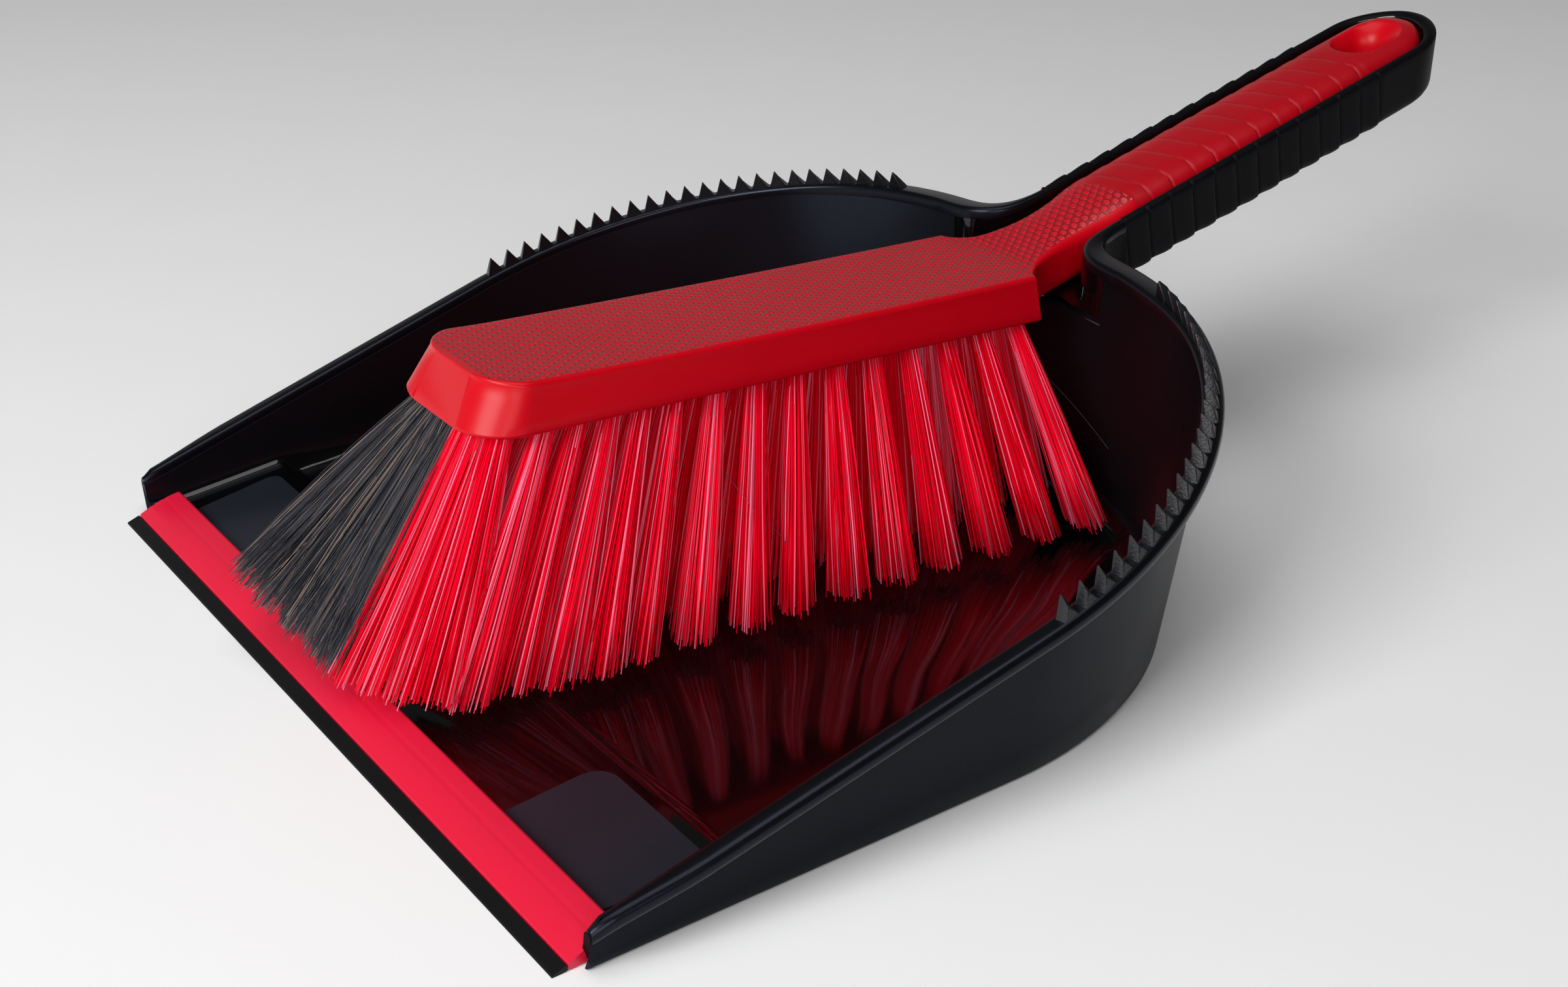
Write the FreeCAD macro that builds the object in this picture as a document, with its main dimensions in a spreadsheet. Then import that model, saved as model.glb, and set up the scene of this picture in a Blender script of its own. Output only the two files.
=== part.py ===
import FreeCAD, Part

import math
import os

import Sketcher

from FreeCAD import Placement, Rotation, Vector

# Dust pan and brush set, millimetres.
#
# The pan is one moulding: a tray with a comb of teeth along its rear rim and a handle
# that is an open channel.  A red lip profile is pushed over the front edge of the tray
# and carries a thin black sealing blade.  The brush lies in the channel and lifts out.
#
# Modelling frame: y = 0 at the edge of the sealing blade and +Y towards the handle,
# x = 0 in the plane of symmetry, z = 0 on the floor.  Every sub-part is then placed so
# that the origin of the finished set is the bottom centre of its box.

DRIVING = [
    # tray
    ("lip_length", 220.0, "length of the lip profile between the side walls"),
    ("pan_length", 353.5, "blade edge to the end of the pan handle"),
    ("wall", 2.2, "wall thickness of the pan"),
    ("floor_depth", 2.4, "thickness of the tray floor"),
    ("end_gap", 0.1, "lip profile to each side wall"),
    ("nose_y", 6.3, "front end of the side walls"),
    ("nose_top", 11.0, "height of the rim at the front end"),
    ("rim_rise", 15.67, "angle of the rim to the floor, degrees"),
    ("grip_rise", 14.1, "angle of the handle to the floor, degrees"),
    ("bend_y", 205.0, "where the rim turns into the handle"),
    ("flare_y", 109.0, "where the side walls turn into the rear arcs"),
    ("rear_arc", 102.0, "radius of the rear wall at each side"),
    ("wall_draft", 9.2, "outward lean of the side walls, degrees"),
    ("crown_z", 75.0, "height up to which the walls are drawn before trimming"),
    ("flange_foot", 1.8, "width of the rim flange beyond the wall if it were at the floor"),
    ("flange_crown", 3.4, "width of the rim flange beyond the wall at crown_z"),
    ("flange_depth", 3.4, "thickness of the rim flange"),
    # floor
    ("tongue_low", 1.2, "underside of the front edge that carries the lip"),
    ("tongue_high", 2.8, "top of the front edge that carries the lip"),
    ("ramp_gap", 0.4, "lip profile to the ramp behind it"),
    ("crest_y", 42.0, "crest that keeps dirt in the tray"),
    ("crest_z", 5.4, "height of the crest"),
    ("crest_flat", 1.2, "length of the flat on the crest"),
    ("crest_drop", 3.0, "length of the step behind the crest"),
    # comb
    ("tooth_count", 24, "teeth on each side"),
    ("tooth_height", 4.6, "height of a tooth above the rim"),
    ("tooth_base", 4.7, "width of a tooth at its foot"),
    ("tooth_reach", 3.6, "length of a tooth across the rim"),
    ("tooth_root", 0.6, "how far a tooth runs into the rim"),
    ("comb_inset", 1.0, "inner ends of the teeth outside the inner face of the wall"),
    ("comb_start", 3.4, "angle of the first tooth on the rear arc, degrees"),
    ("comb_end", 72.6, "angle of the last tooth on the rear arc, degrees"),
    # handle channel
    ("channel_half", 13.5, "half of the clear width of the channel"),
    ("channel_depth", 14.5, "depth of the channel below the rim"),
    ("channel_wall", 3.0, "side wall of the channel"),
    ("neck_outer", 30.0, "half width at which the channel rim leaves the tray"),
    ("neck_inner", 36.0, "half width of the mouth of the channel"),
    ("neck_blend", 20.0, "length over which the rim narrows into the handle"),
    ("neck_radius", 18.0, "radius of that narrowing"),
    ("mouth_radius", 30.0, "radius of the mouth of the channel"),
    ("mouth_lead", 5.0, "mouth of the channel in front of the bend"),
    # lip
    ("fit_gap", 0.1, "clearance of the lip on the tray edge, above and below"),
    ("lip_front", 3.5, "front of the red profile"),
    ("lip_root", 7.4, "closed end of its slot"),
    ("lip_rear", 15.0, "rear edge of the red profile"),
    ("lip_nose", 1.6, "height of the red profile at its front"),
    ("lip_high", 5.2, "height of the red profile at its rear"),
    ("lip_low", 0.3, "underside of the red profile"),
    ("lip_crown", 40.0, "radius of its top"),
    ("blade_gap", 0.3, "clearance between blade and profile"),
    ("blade_edge", 0.4, "thickness of the blade at its edge"),
    ("blade_root", 1.5, "height of the blade at its root"),
    ("blade_low", 0.15, "underside of the blade behind its edge"),
    ("blade_bevel", 0.3, "bevel at the root of the blade"),
    # brush
    ("block_front", 37.5, "front of the brush block at its underside"),
    ("block_rear", 195.0, "rear of the brush block"),
    ("block_lean", 2.4, "how far the sides of the block lean in"),
    ("front_lean", 5.4, "how far the front of the block leans back"),
    ("block_half", 21.7, "half width of the block at its underside"),
    ("block_depth", 11.2, "thickness of the block"),
    ("block_corner", 11.5, "corner radius at the front of the block"),
    ("block_rise", 2.34, "top of the block, halfway along it, above the bend of the rim"),
    ("block_tilt", 3.1, "angle by which the front of the block is raised, degrees"),
    ("waist_y", 214.0, "narrowest place of the brush neck"),
    ("waist_half", 10.6, "half width of the brush neck there"),
    ("waist_rise", 1.86, "top of the neck there above the bend of the rim"),
    ("root_reach", 14.0, "how far the neck runs into the block"),
    ("root_inset", 2.5, "sides of the neck inside the top of the block"),
    ("root_drop", 0.4, "top of the neck below the top of the block"),
    ("rear_lean", 0.5, "how far the rear of the block leans in"),
    ("grip_start", 234.0, "where the brush handle reaches its full width"),
    ("grip_gap", 0.6, "clearance of the brush handle in the channel, each side"),
    ("rest_gap", 0.3, "clearance under the brush handle"),
    ("hole_half", 6.0, "half width of the hanging hole"),
    ("hole_run", 6.0, "straight length of the hanging hole"),
    ("hole_inset", 17.0, "end of the brush handle to the middle of the hole"),
    # tufts
    ("row_count", 13, "rows of tufts across the block"),
    ("row_first", 50.0, "first row"),
    ("row_last", 188.5, "last row"),
    ("row_thick", 5.2, "thickness of a row at the block"),
    ("row_inset", 3.4, "edge of the block to the outermost tuft"),
    ("row_root", 3.7, "how deep a row runs into the block"),
    ("row_share", 0.94, "thickness of a row at its tips as a share of the tip spacing"),
    ("tip_z", 6.4, "height of the bristle tips above the floor"),
    ("tip_front_z", 9.0, "height of the foremost bristle tips"),
    ("tip_fall", 2, "rows over which the tips come down to tip_z"),
    ("tip_front_y", 16.0, "foremost bristle tips"),
    ("tip_rear_y", 193.0, "rearmost bristle tips"),
    ("tip_front_half", 31.5, "half width of the brush at the foremost tips"),
    ("tip_side_gap", 4.8, "rearmost tips to the wall of the tray, at the floor"),
    ("hair_share", 0.1, "right end of the dark hair in the front row, as a share of its half width"),
    ("hair_gap", 0.04, "gap beside the dark hair, as a share of the same"),
]

# name, half width, arc radius: the tail of each outline, where its two rear arcs meet, is
# worked out from them, with the arc centres kept above each other
OUTLINES = [
    ("foot", "lip_length / 2 + end_gap + wall", "rear_arc"),
    ("crown", "foot_half + tan(wall_draft * 1 deg) * crown_z", "rear_arc"),
    ("inner_foot", "foot_half - wall", "rear_arc - wall"),
    ("inner_crown", "crown_half - wall", "rear_arc - wall"),
    ("rim_foot", "foot_half + flange_foot", "rear_arc + flange_foot"),
    ("rim_crown", "crown_half + flange_crown", "rear_arc + flange_crown"),
]

DERIVED = [
    ("bend_z", "nose_top + tan(rim_rise * 1 deg) * (bend_y - nose_y)"),
    ("end_z", "bend_z + tan(grip_rise * 1 deg) * (pan_length - bend_y)"),
    ("channel_outer", "channel_half + channel_wall"),
    ("end_centre_y", "pan_length - channel_outer"),
    ("neck_y", "bend_y + neck_blend"),
    ("mouth_y", "bend_y - mouth_lead"),
    ("tongue_front", "lip_root + 2 * fit_gap"),
    ("ramp_y", "lip_rear + ramp_gap"),
    ("crest_back", "crest_y + crest_flat"),
    ("step_y", "crest_back + crest_drop"),
    ("beyond", "pan_length * 2"),
    ("under", "-nose_top"),
    ("slot_low", "tongue_low - fit_gap"),
    ("slot_high", "tongue_high + fit_gap"),
    ("blade_back", "lip_front - blade_gap"),
    ("blade_turn", "blade_back - blade_bevel"),
    ("blade_low_turn", "blade_low + blade_bevel"),
    ("blade_high_turn", "blade_root - blade_bevel"),
    ("block_top", "bend_z + block_rise"),
    ("block_middle", "(block_front + block_rear) / 2"),
    ("block_top_half", "block_half - block_lean"),
    ("block_top_front", "block_front + front_lean"),
    ("block_top_rear", "block_rear - rear_lean"),
    ("corner_x", "block_half - block_corner"),
    ("corner_y", "block_front + block_corner"),
    ("corner_top_x", "block_top_half - block_corner"),
    ("corner_top_y", "block_top_front + block_corner"),
    ("block_datum", "block_top + tan(block_tilt * 1 deg) * block_middle"),
    ("brush_half", "channel_half - grip_gap"),
    ("brush_end_y", "end_centre_y + brush_half"),
    ("hole_y", "brush_end_y - hole_inset"),
    ("hole_near", "hole_y - hole_run / 2"),
    ("hole_far", "hole_y + hole_run / 2"),
    ("root_y", "block_rear - root_reach"),
    ("root_half", "block_top_half - root_inset"),
    ("root_top", "block_top - tan(block_tilt * 1 deg) * (root_y - block_middle) - root_drop"),
    ("rear_top", "block_top - tan(block_tilt * 1 deg) * (block_rear - block_middle) - root_drop"),
    ("root_low", "root_top - block_depth + 2 * root_drop"),
    ("rear_low", "rear_top - block_depth + 2 * root_drop"),
    ("waist_top", "bend_z + waist_rise"),
    ("waist_rim", "bend_z + tan(grip_rise * 1 deg) * (waist_y - bend_y)"),
    ("waist_low", "waist_rim - channel_depth + rest_gap"),
    ("grip_z", "bend_z + tan(grip_rise * 1 deg) * (grip_start - bend_y)"),
    ("grip_low", "grip_z - channel_depth + rest_gap"),
    ("brush_end_z", "bend_z + tan(grip_rise * 1 deg) * (brush_end_y - bend_y)"),
    ("brush_end_low", "brush_end_z - channel_depth + rest_gap"),
    ("tip_pitch", "(tip_rear_y - tip_front_y) / (row_count - 1)"),
    ("tip_back", "tip_rear_y + tip_pitch * row_share / 2 - flare_y"),
    ("tip_wall", "inner_foot_half - inner_foot_arc + sqrt(inner_foot_arc ^ 2 - tip_back ^ 2)"),
    ("tip_rear_half", "tip_wall - tip_side_gap"),
]

doc = FreeCAD.newDocument("dust_pan_set")
sheet = doc.addObject("Spreadsheet::Sheet", "dims")
filled = []


def add_cell(alias, content, meaning="worked out"):
    """One more row in the sheet: alias, value or formula, meaning."""
    filled.append(alias)
    row = len(filled)
    sheet.set(f"A{row}", alias)
    sheet.set(f"B{row}", str(content))
    sheet.setAlias(f"B{row}", alias)
    sheet.set(f"C{row}", meaning)


def fill_sheet():
    """Driving values first, then what is worked out from them."""
    for alias, value, meaning in DRIVING:
        add_cell(alias, value, meaning)
    sheet.recompute()
    for name, half, arc in OUTLINES:
        add_cell(f"{name}_half", f"={half}")
        add_cell(f"{name}_arc", f"={arc}")
        sheet.recompute()
        inward = f"({name}_arc - {name}_half) ^ 2"
        add_cell(f"{name}_tail", f"=flare_y + sqrt({name}_arc ^ 2 - {inward})")
    for alias, formula in DERIVED:
        add_cell(alias, f"={formula}")
        sheet.recompute()
    doc.recompute()


fill_sheet()

ACROSS = Rotation(Vector(1, 1, 1), 120)     # sketch x to +Y, sketch y to +Z, normal to +X
SPAN = "dims.rim_crown_half * 3 * 1 mm"     # wider than the pan, for profiles cut through it


def size(alias):
    """Number in the sheet cell with this alias; a leading minus sign turns it round."""
    if alias.startswith("-"):
        return -size(alias[1:])
    value = sheet.get(alias)
    return float(getattr(value, "Value", value))


def bind(thing, prop, expression):
    """Tie a property to an expression in which sheet aliases are written as dims.NAME."""
    thing.setExpression(prop, expression)


def place(thing):
    """Move a finished sub-part so that the set's origin is the bottom centre of its box."""
    bind(thing, "Placement.Base.y", "-dims.pan_length / 2")


def outline(name, corners, arcs=None, across=False, level="0"):
    """Closed sketch through corners given as (alias or number, alias or number).

    arcs maps the index of an edge to (radius alias, 1 for a centre left of the edge's
    direction or -1 for right).  Corners given by alias follow the sheet.
    """
    arcs = arcs or {}
    sketch = doc.addObject("Sketcher::SketchObject", name)
    values = [[size(c) if isinstance(c, str) else c for c in corner] for corner in corners]
    ends = []
    for index, start in enumerate(values):
        stop = values[(index + 1) % len(values)]
        first, last = Vector(*start, 0), Vector(*stop, 0)
        if index in arcs:
            radius_alias, side = arcs[index]
            chord = last - first
            radius = chord.Length / 2 if radius_alias == "half turn" else size(radius_alias)
            left = Vector(-chord.y, chord.x, 0).normalize()
            rise = math.sqrt(max(radius ** 2 - (chord.Length / 2) ** 2, 0.0))
            centre = (first + last) * 0.5 + left * side * rise
            if side < 0:
                first, last = last, first
            begin = math.atan2(first.y - centre.y, first.x - centre.x)
            finish = math.atan2(last.y - centre.y, last.x - centre.x)
            circle = Part.Circle(centre, Vector(0, 0, 1), radius)
            sketch.addGeometry(Part.ArcOfCircle(circle, begin, finish), False)
            ends.append((1, 2) if side > 0 else (2, 1))
        else:
            sketch.addGeometry(Part.LineSegment(first, last), False)
            ends.append((1, 2))
    for index, corner in enumerate(corners):
        before = (index - 1) % len(corners)
        sketch.addConstraint(Sketcher.Constraint(
            "Coincident", before, ends[before][1], index, ends[index][0]))
        for kind, axis, coordinate in (("DistanceX", -2, corner[0]), ("DistanceY", -1, corner[1])):
            value = size(coordinate) if isinstance(coordinate, str) else coordinate
            if value == 0:
                sketch.addConstraint(Sketcher.Constraint(
                    "PointOnObject", index, ends[index][0], axis))
                continue
            number = sketch.addConstraint(Sketcher.Constraint(
                kind, -1, 1, index, ends[index][0], value))
            if isinstance(coordinate, str):
                sign = "-" if coordinate.startswith("-") else ""
                sketch.setExpression(f"Constraints[{number}]", f"{sign}dims.{coordinate.lstrip('-')}")
        if index in arcs and arcs[index][0] == "half turn":
            sketch.addConstraint(Sketcher.Constraint(
                "Horizontal", index, ends[index][0], index, 3))
        elif index in arcs:
            number = sketch.addConstraint(Sketcher.Constraint("Radius", index, size(arcs[index][0])))
            sketch.setExpression(f"Constraints[{number}]", f"dims.{arcs[index][0]}")
    if across:
        sketch.Placement = Placement(Vector(0, 0, 0), ACROSS)
    else:
        bind(sketch, "Placement.Base.z", level)
    return sketch


def extrude(name, sketch, length, midway=False):
    """Straight extrusion along the sketch's normal, length an expression."""
    solid = doc.addObject("Part::Extrusion", name)
    solid.Base = sketch
    solid.DirMode = "Normal"
    solid.Solid = True
    solid.Symmetric = midway
    bind(solid, "LengthFwd", length)
    return solid


def loft(name, sections):
    """Solid with straight sides between closed sections."""
    solid = doc.addObject("Part::Loft", name)
    solid.Sections = sections
    solid.Solid = True
    solid.Ruled = True
    return solid


def combine(kind, name, *shapes):
    """Part boolean of the given kind: Cut, Common or Fuse."""
    if kind == "Fuse":
        result = doc.addObject("Part::MultiFuse", name)
        result.Shapes = list(shapes)
        result.Refine = True
        return result
    result = doc.addObject(f"Part::{kind}", name)
    result.Base, result.Tool = shapes
    result.Refine = True
    return result


# --- pan ---------------------------------------------------------------------------------

def tray_section(name, kind, level, front="nose_y"):
    """Horizontal section of the tray: straight sides and two rear arcs."""
    half, arc = f"{kind}_half", f"{kind}_arc"
    return outline(name,
                   [(f"-{half}", front), (half, front), (half, "flare_y"), (0, f"{kind}_tail"),
                    (f"-{half}", "flare_y")],
                   {2: (arc, 1), 3: (arc, 1)}, level=level)


def tray_stock(name, low, high, front="nose_y"):
    """Solid of the tray with drafted walls, from the floor up to crown_z."""
    return loft(name, [tray_section(f"{name}_low", low, "0 mm", front),
                       tray_section(f"{name}_high", high, "dims.crown_z * 1 mm", front)])


def handle_plan(name, half, mouth, mouth_y, radius):
    """Plan of the handle with its widening into the tray and its round end."""
    return outline(name,
                   [(f"-{mouth}", "flare_y"), (mouth, "flare_y"), (mouth, mouth_y),
                    (half, "neck_y"), (half, "end_centre_y"), (f"-{half}", "end_centre_y"),
                    (f"-{half}", "neck_y"), (f"-{mouth}", mouth_y)],
                   {2: (radius, -1), 4: ("half turn", 1), 6: (radius, -1)})


def rim_band(name, drop_low, drop_high, front="nose_y"):
    """Solid between two surfaces that follow the rim at the given depths below it."""
    for tag, drop in (("low", drop_low), ("high", drop_high)):
        for station in ("nose_top", "bend_z", "end_z"):
            add_cell(f"{name}_{tag}_{station}", f"={station} - {drop}")
    sheet.recompute()
    low, high = f"{name}_low", f"{name}_high"
    profile = outline(f"{name}_profile",
                      [(front, f"{low}_nose_top"), ("bend_y", f"{low}_bend_z"),
                       ("pan_length", f"{low}_end_z"), ("pan_length", f"{high}_end_z"),
                       ("bend_y", f"{high}_bend_z"), (front, f"{high}_nose_top")],
                      across=True)
    return extrude(name, profile, SPAN, midway=True)


def comb():
    """Teeth of both combs as one compound, standing on the plane of the rim."""
    rise = math.radians(size("rim_rise"))
    up = Vector(0, -math.sin(rise), math.cos(rise))
    start, end = (math.radians(size(alias)) for alias in ("comb_start", "comb_end"))
    count = int(size("tooth_count"))
    teeth = []
    for side in (1, -1):
        for index in range(count):
            angle = start + (end - start) * index / (count - 1)
            foot = comb_foot(side, angle)
            outward = Vector(side * math.cos(angle), math.sin(angle), 0)
            outward.z = math.tan(rise) * outward.y
            along = up.cross(outward).normalize() * (size("tooth_base") / 2)
            root = foot - up * size("tooth_root")
            triangle = Part.makePolygon([root - along, root + along,
                                         foot + up * size("tooth_height"), root - along])
            teeth.append(Part.Face(triangle).extrude(outward * size("tooth_reach")))
    result = doc.addObject("Part::Feature", "comb_teeth")
    result.Shape = Part.makeCompound(teeth)
    return result


def comb_foot(side, angle):
    """Inner end of a tooth on the rim, at an angle on the rear arc of that height."""
    draft = math.tan(math.radians(size("wall_draft")))
    slope = math.tan(math.radians(size("rim_rise")))
    foot = Vector(0, size("flare_y"), 0)
    for _ in range(4):
        foot.z = size("nose_top") + slope * (foot.y - size("nose_y"))
        centre = size("foot_half") + draft * foot.z - size("rear_arc")
        reach = size("inner_foot_arc") + size("comb_inset")
        foot.x = side * (centre + reach * math.cos(angle))
        foot.y = size("flare_y") + reach * math.sin(angle)
    foot.z = size("nose_top") + slope * (foot.y - size("nose_y"))
    return foot


def hang_hole(name):
    """Upright prism of the hanging hole, through brush and channel."""
    plan = outline(f"{name}_plan",
                   [("hole_half", "hole_near"), ("hole_half", "hole_far"),
                    ("-hole_half", "hole_far"), ("-hole_half", "hole_near")],
                   {1: ("half turn", 1), 3: ("half turn", 1)})
    return extrude(name, plan, "dims.end_z * 2 mm")


def make_pan():
    """Tray, rim flange, comb and channel handle as one moulding."""
    walls = combine("Common", "trimmed_walls", tray_stock("wall_stock", "foot", "crown"),
                    rim_band("wall_band", "2 * end_z", "0"))
    flange = combine("Common", "rim_flange", tray_stock("flange_stock", "rim_foot", "rim_crown"),
                     rim_band("flange_band", "flange_depth", "0"))
    upright = "dims.end_z * 2 mm"
    channel_walls = combine(
        "Common", "channel_walls",
        extrude("channel_stock", handle_plan(
            "channel_plan", "channel_outer", "neck_outer", "bend_y", "neck_radius"), upright),
        rim_band("channel_band", "(channel_depth + wall)", "0", front="flare_y"))
    stock = combine("Fuse", "pan_stock", walls, flange, channel_walls)

    floor = extrude("floor_stock", outline("floor_profile", [
        ("under", "under"), ("beyond", "under"), ("beyond", "floor_depth"),
        ("step_y", "floor_depth"), ("crest_back", "crest_z"), ("crest_y", "crest_z"),
        ("ramp_y", "tongue_high"), ("under", "tongue_high")], across=True), SPAN, midway=True)
    hollow = combine("Cut", "tray_hollow",
                     tray_stock("inner_stock", "inner_foot", "inner_crown", front="under"), floor)
    channel = combine(
        "Common", "channel_hollow",
        extrude("channel_inner", handle_plan(
            "channel_inner_plan", "channel_half", "neck_inner", "mouth_y", "mouth_radius"),
            upright),
        rim_band("channel_clear", "channel_depth", "(-end_z)", front="flare_y"))
    between = "2 * dims.inner_foot_half * 1 mm"
    under_lip = extrude("under_lip", outline("under_lip_profile", [
        ("under", "under"), ("ramp_y", "under"), ("ramp_y", "tongue_low"),
        ("under", "tongue_low")], across=True), between, midway=True)
    before_lip = extrude("before_lip", outline("before_lip_profile", [
        ("under", "under"), ("tongue_front", "under"), ("tongue_front", "crest_z"),
        ("under", "crest_z")], across=True), between, midway=True)
    shell = stock
    for name, tool in (("open_tray", hollow), ("open_channel", channel),
                       ("lip_seat", under_lip), ("lip_front_edge", before_lip),
                       ("pan_hole", hang_hole("pan_hang_hole"))):
        shell = combine("Cut", name, shell, tool)
    pan = combine("Fuse", "pan", shell, comb())
    pan.Label = "pan"
    return pan


# --- lip ---------------------------------------------------------------------------------

def make_lip():
    """Red profile with the slot that grips the front edge of the tray."""
    lip = extrude("lip_clip", outline("lip_profile", [
        ("lip_front", "lip_low"), ("lip_rear", "lip_low"), ("lip_rear", "slot_low"),
        ("lip_root", "slot_low"), ("lip_root", "slot_high"), ("lip_rear", "slot_high"),
        ("lip_rear", "lip_high"), ("lip_front", "lip_nose")],
        {6: ("lip_crown", 1)}, across=True), "dims.lip_length * 1 mm", midway=True)
    lip.Label = "lip_clip"
    return lip


def make_blade():
    """Thin black blade that seals against the floor, in front of the red profile."""
    blade = extrude("lip_blade", outline("blade_profile", [
        (0, 0), ("blade_turn", "blade_low"), ("blade_back", "blade_low_turn"),
        ("blade_back", "blade_high_turn"), ("blade_turn", "blade_root"), (0, "blade_edge")],
        across=True), "dims.lip_length * 1 mm", midway=True)
    blade.Label = "lip_blade"
    return blade


# --- brush -------------------------------------------------------------------------------

def block_section(name, half, front, rear, corner_x, corner_y, depth):
    """Outline of the block at a depth below its tilted top."""
    sketch = outline(name,
                     [(f"-{corner_x}", front), (corner_x, front), (half, corner_y),
                      (half, rear), (f"-{half}", rear), (f"-{half}", corner_y)],
                     {1: ("block_corner", 1), 5: ("block_corner", 1)})
    tilt = Rotation(Vector(1, 0, 0), -size("block_tilt"))
    sketch.Placement = Placement(Vector(0, 0, 0), tilt)
    bind(sketch, "Placement.Base.z", f"(dims.block_datum - {depth}) * 1 mm")
    return sketch


def make_block():
    """Brush block, neck and handle as one moulding, with the hanging hole."""
    block = loft("block_stock", [
        block_section("block_underside", "block_half", "block_front", "block_rear",
                      "corner_x", "corner_y", "dims.block_depth"),
        block_section("block_topside", "block_top_half", "block_top_front", "block_top_rear",
                      "corner_top_x", "corner_top_y", "0")])
    plan = outline("brush_plan", [
        ("-root_half", "root_y"), ("root_half", "root_y"), ("root_half", "block_rear"),
        ("waist_half", "waist_y"), ("brush_half", "grip_start"),
        ("brush_half", "end_centre_y"), ("-brush_half", "end_centre_y"),
        ("-brush_half", "grip_start"), ("-waist_half", "waist_y"),
        ("-root_half", "block_rear")], {5: ("half turn", 1)})
    side = outline("brush_side", [
        ("root_y", "root_low"), ("block_rear", "rear_low"), ("waist_y", "waist_low"),
        ("grip_start", "grip_low"), ("brush_end_y", "brush_end_low"),
        ("brush_end_y", "brush_end_z"), ("grip_start", "grip_z"), ("waist_y", "waist_top"),
        ("block_rear", "rear_top"), ("root_y", "root_top")], across=True)
    grip = combine("Common", "brush_grip", extrude("grip_plan", plan, "dims.end_z * 2 mm"),
                   extrude("grip_side", side, SPAN, midway=True))
    whole = combine("Fuse", "block_and_grip", block, grip)
    brush = combine("Cut", "brush_block", whole, hang_hole("brush_hang_hole"))
    brush.Label = "brush_block"
    return brush


def block_underside(y):
    """Height of the underside of the block at y."""
    slope = math.tan(math.radians(size("block_tilt")))
    depth = size("block_depth")
    return size("block_top") - depth - slope * (y - size("block_middle"))


def make_row(name, index, block, left=-1.0, right=1.0):
    """One row of tufts: bundled at the block, splayed and cut level at the tips.

    left and right are the ends of the row as shares of its half width.
    """
    along = index / (size("row_count") - 1)
    root_y = size("row_first") + along * (size("row_last") - size("row_first"))
    tip_y = size("tip_front_y") + along * (size("tip_rear_y") - size("tip_front_y"))
    tip_half = size("tip_front_half") + along * (size("tip_rear_half") - size("tip_front_half"))
    fall = min(index / size("tip_fall"), 1.0)
    tip_z = size("tip_front_z") - fall * (size("tip_front_z") - size("tip_z"))
    root_half = size("block_half") - size("row_inset")
    to_front = max(size("corner_y") - root_y, 0)
    root_half -= size("block_corner") - math.sqrt(max(size("block_corner") ** 2 - to_front ** 2, 0))
    root_z = block_underside(root_y) + size("row_root")
    lean = (tip_y - root_y) / (root_z - tip_z)

    def rectangle(y, z, half, thick):
        corners = [Vector(share * half, y + side * thick / 2, z)
                   for share, side in ((left, -1), (right, -1), (right, 1), (left, 1), (left, -1))]
        return Part.makePolygon(corners)

    buried_y = root_y - lean * size("row_root")
    bundle = Part.makeLoft([rectangle(buried_y, root_z, root_half, size("row_thick")),
                            rectangle(tip_y, tip_z, tip_half, size("tip_pitch") * size("row_share"))],
                           True, True)
    row = doc.addObject("Part::Feature", name)
    row.Shape = bundle.cut(block.Shape)
    row.Label = name
    return row


def make_rows(block):
    """All rows; the left part of the front row is dark hair and a node of its own."""
    edge = size("hair_share")
    rows = [make_row("hair_row", 0, block, right=edge),
            make_row("tuft_row_01", 0, block, left=edge + size("hair_gap"))]
    for index in range(1, int(size("row_count"))):
        rows.append(make_row(f"tuft_row_{index + 1:02d}", index, block))
    return rows


# --- build -------------------------------------------------------------------------------

def check_objects():
    """Stop on any object that failed to build."""
    for thing in doc.Objects:
        if "Invalid" in thing.State or "Error" in thing.State:
            raise RuntimeError(f"{thing.Label} did not build: {thing.State}")


def main():
    """Build, check and write every sub-part."""
    parts = [make_pan(), make_lip(), make_blade(), make_block()]
    doc.recompute()
    check_objects()
    parts += make_rows(block=parts[-1])
    for part in parts:
        place(part)
    doc.recompute()
    check_objects()
    for part in parts:
        shape = part.Shape
        if shape.isNull() or not shape.isValid():
            raise RuntimeError(f"{part.Label} has no valid shape")
        if len(shape.Solids) != 1:
            raise RuntimeError(f"{part.Label} has {len(shape.Solids)} solids")
    os.makedirs("parts", exist_ok=True)
    for part in parts:
        part.Shape.exportStep(f"parts/{part.Label}.step")
        box = part.Shape.optimalBoundingBox(False)
        print(f"{part.Label}: {part.Shape.Volume:.0f} mm3, x {box.XMin:.1f} {box.XMax:.1f}, "
              f"y {box.YMin:.1f} {box.YMax:.1f}, z {box.ZMin:.1f} {box.ZMax:.1f}")


main()
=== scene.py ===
"""Looks of a dust pan and brush set: one black moulded pan, its soft lip, and a red hand brush."""
import logging
import math
import random
from dataclasses import dataclass, field
from enum import Enum
from typing import Iterable, Sequence

import bmesh
import bpy
from mathutils import Matrix, Vector


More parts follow.
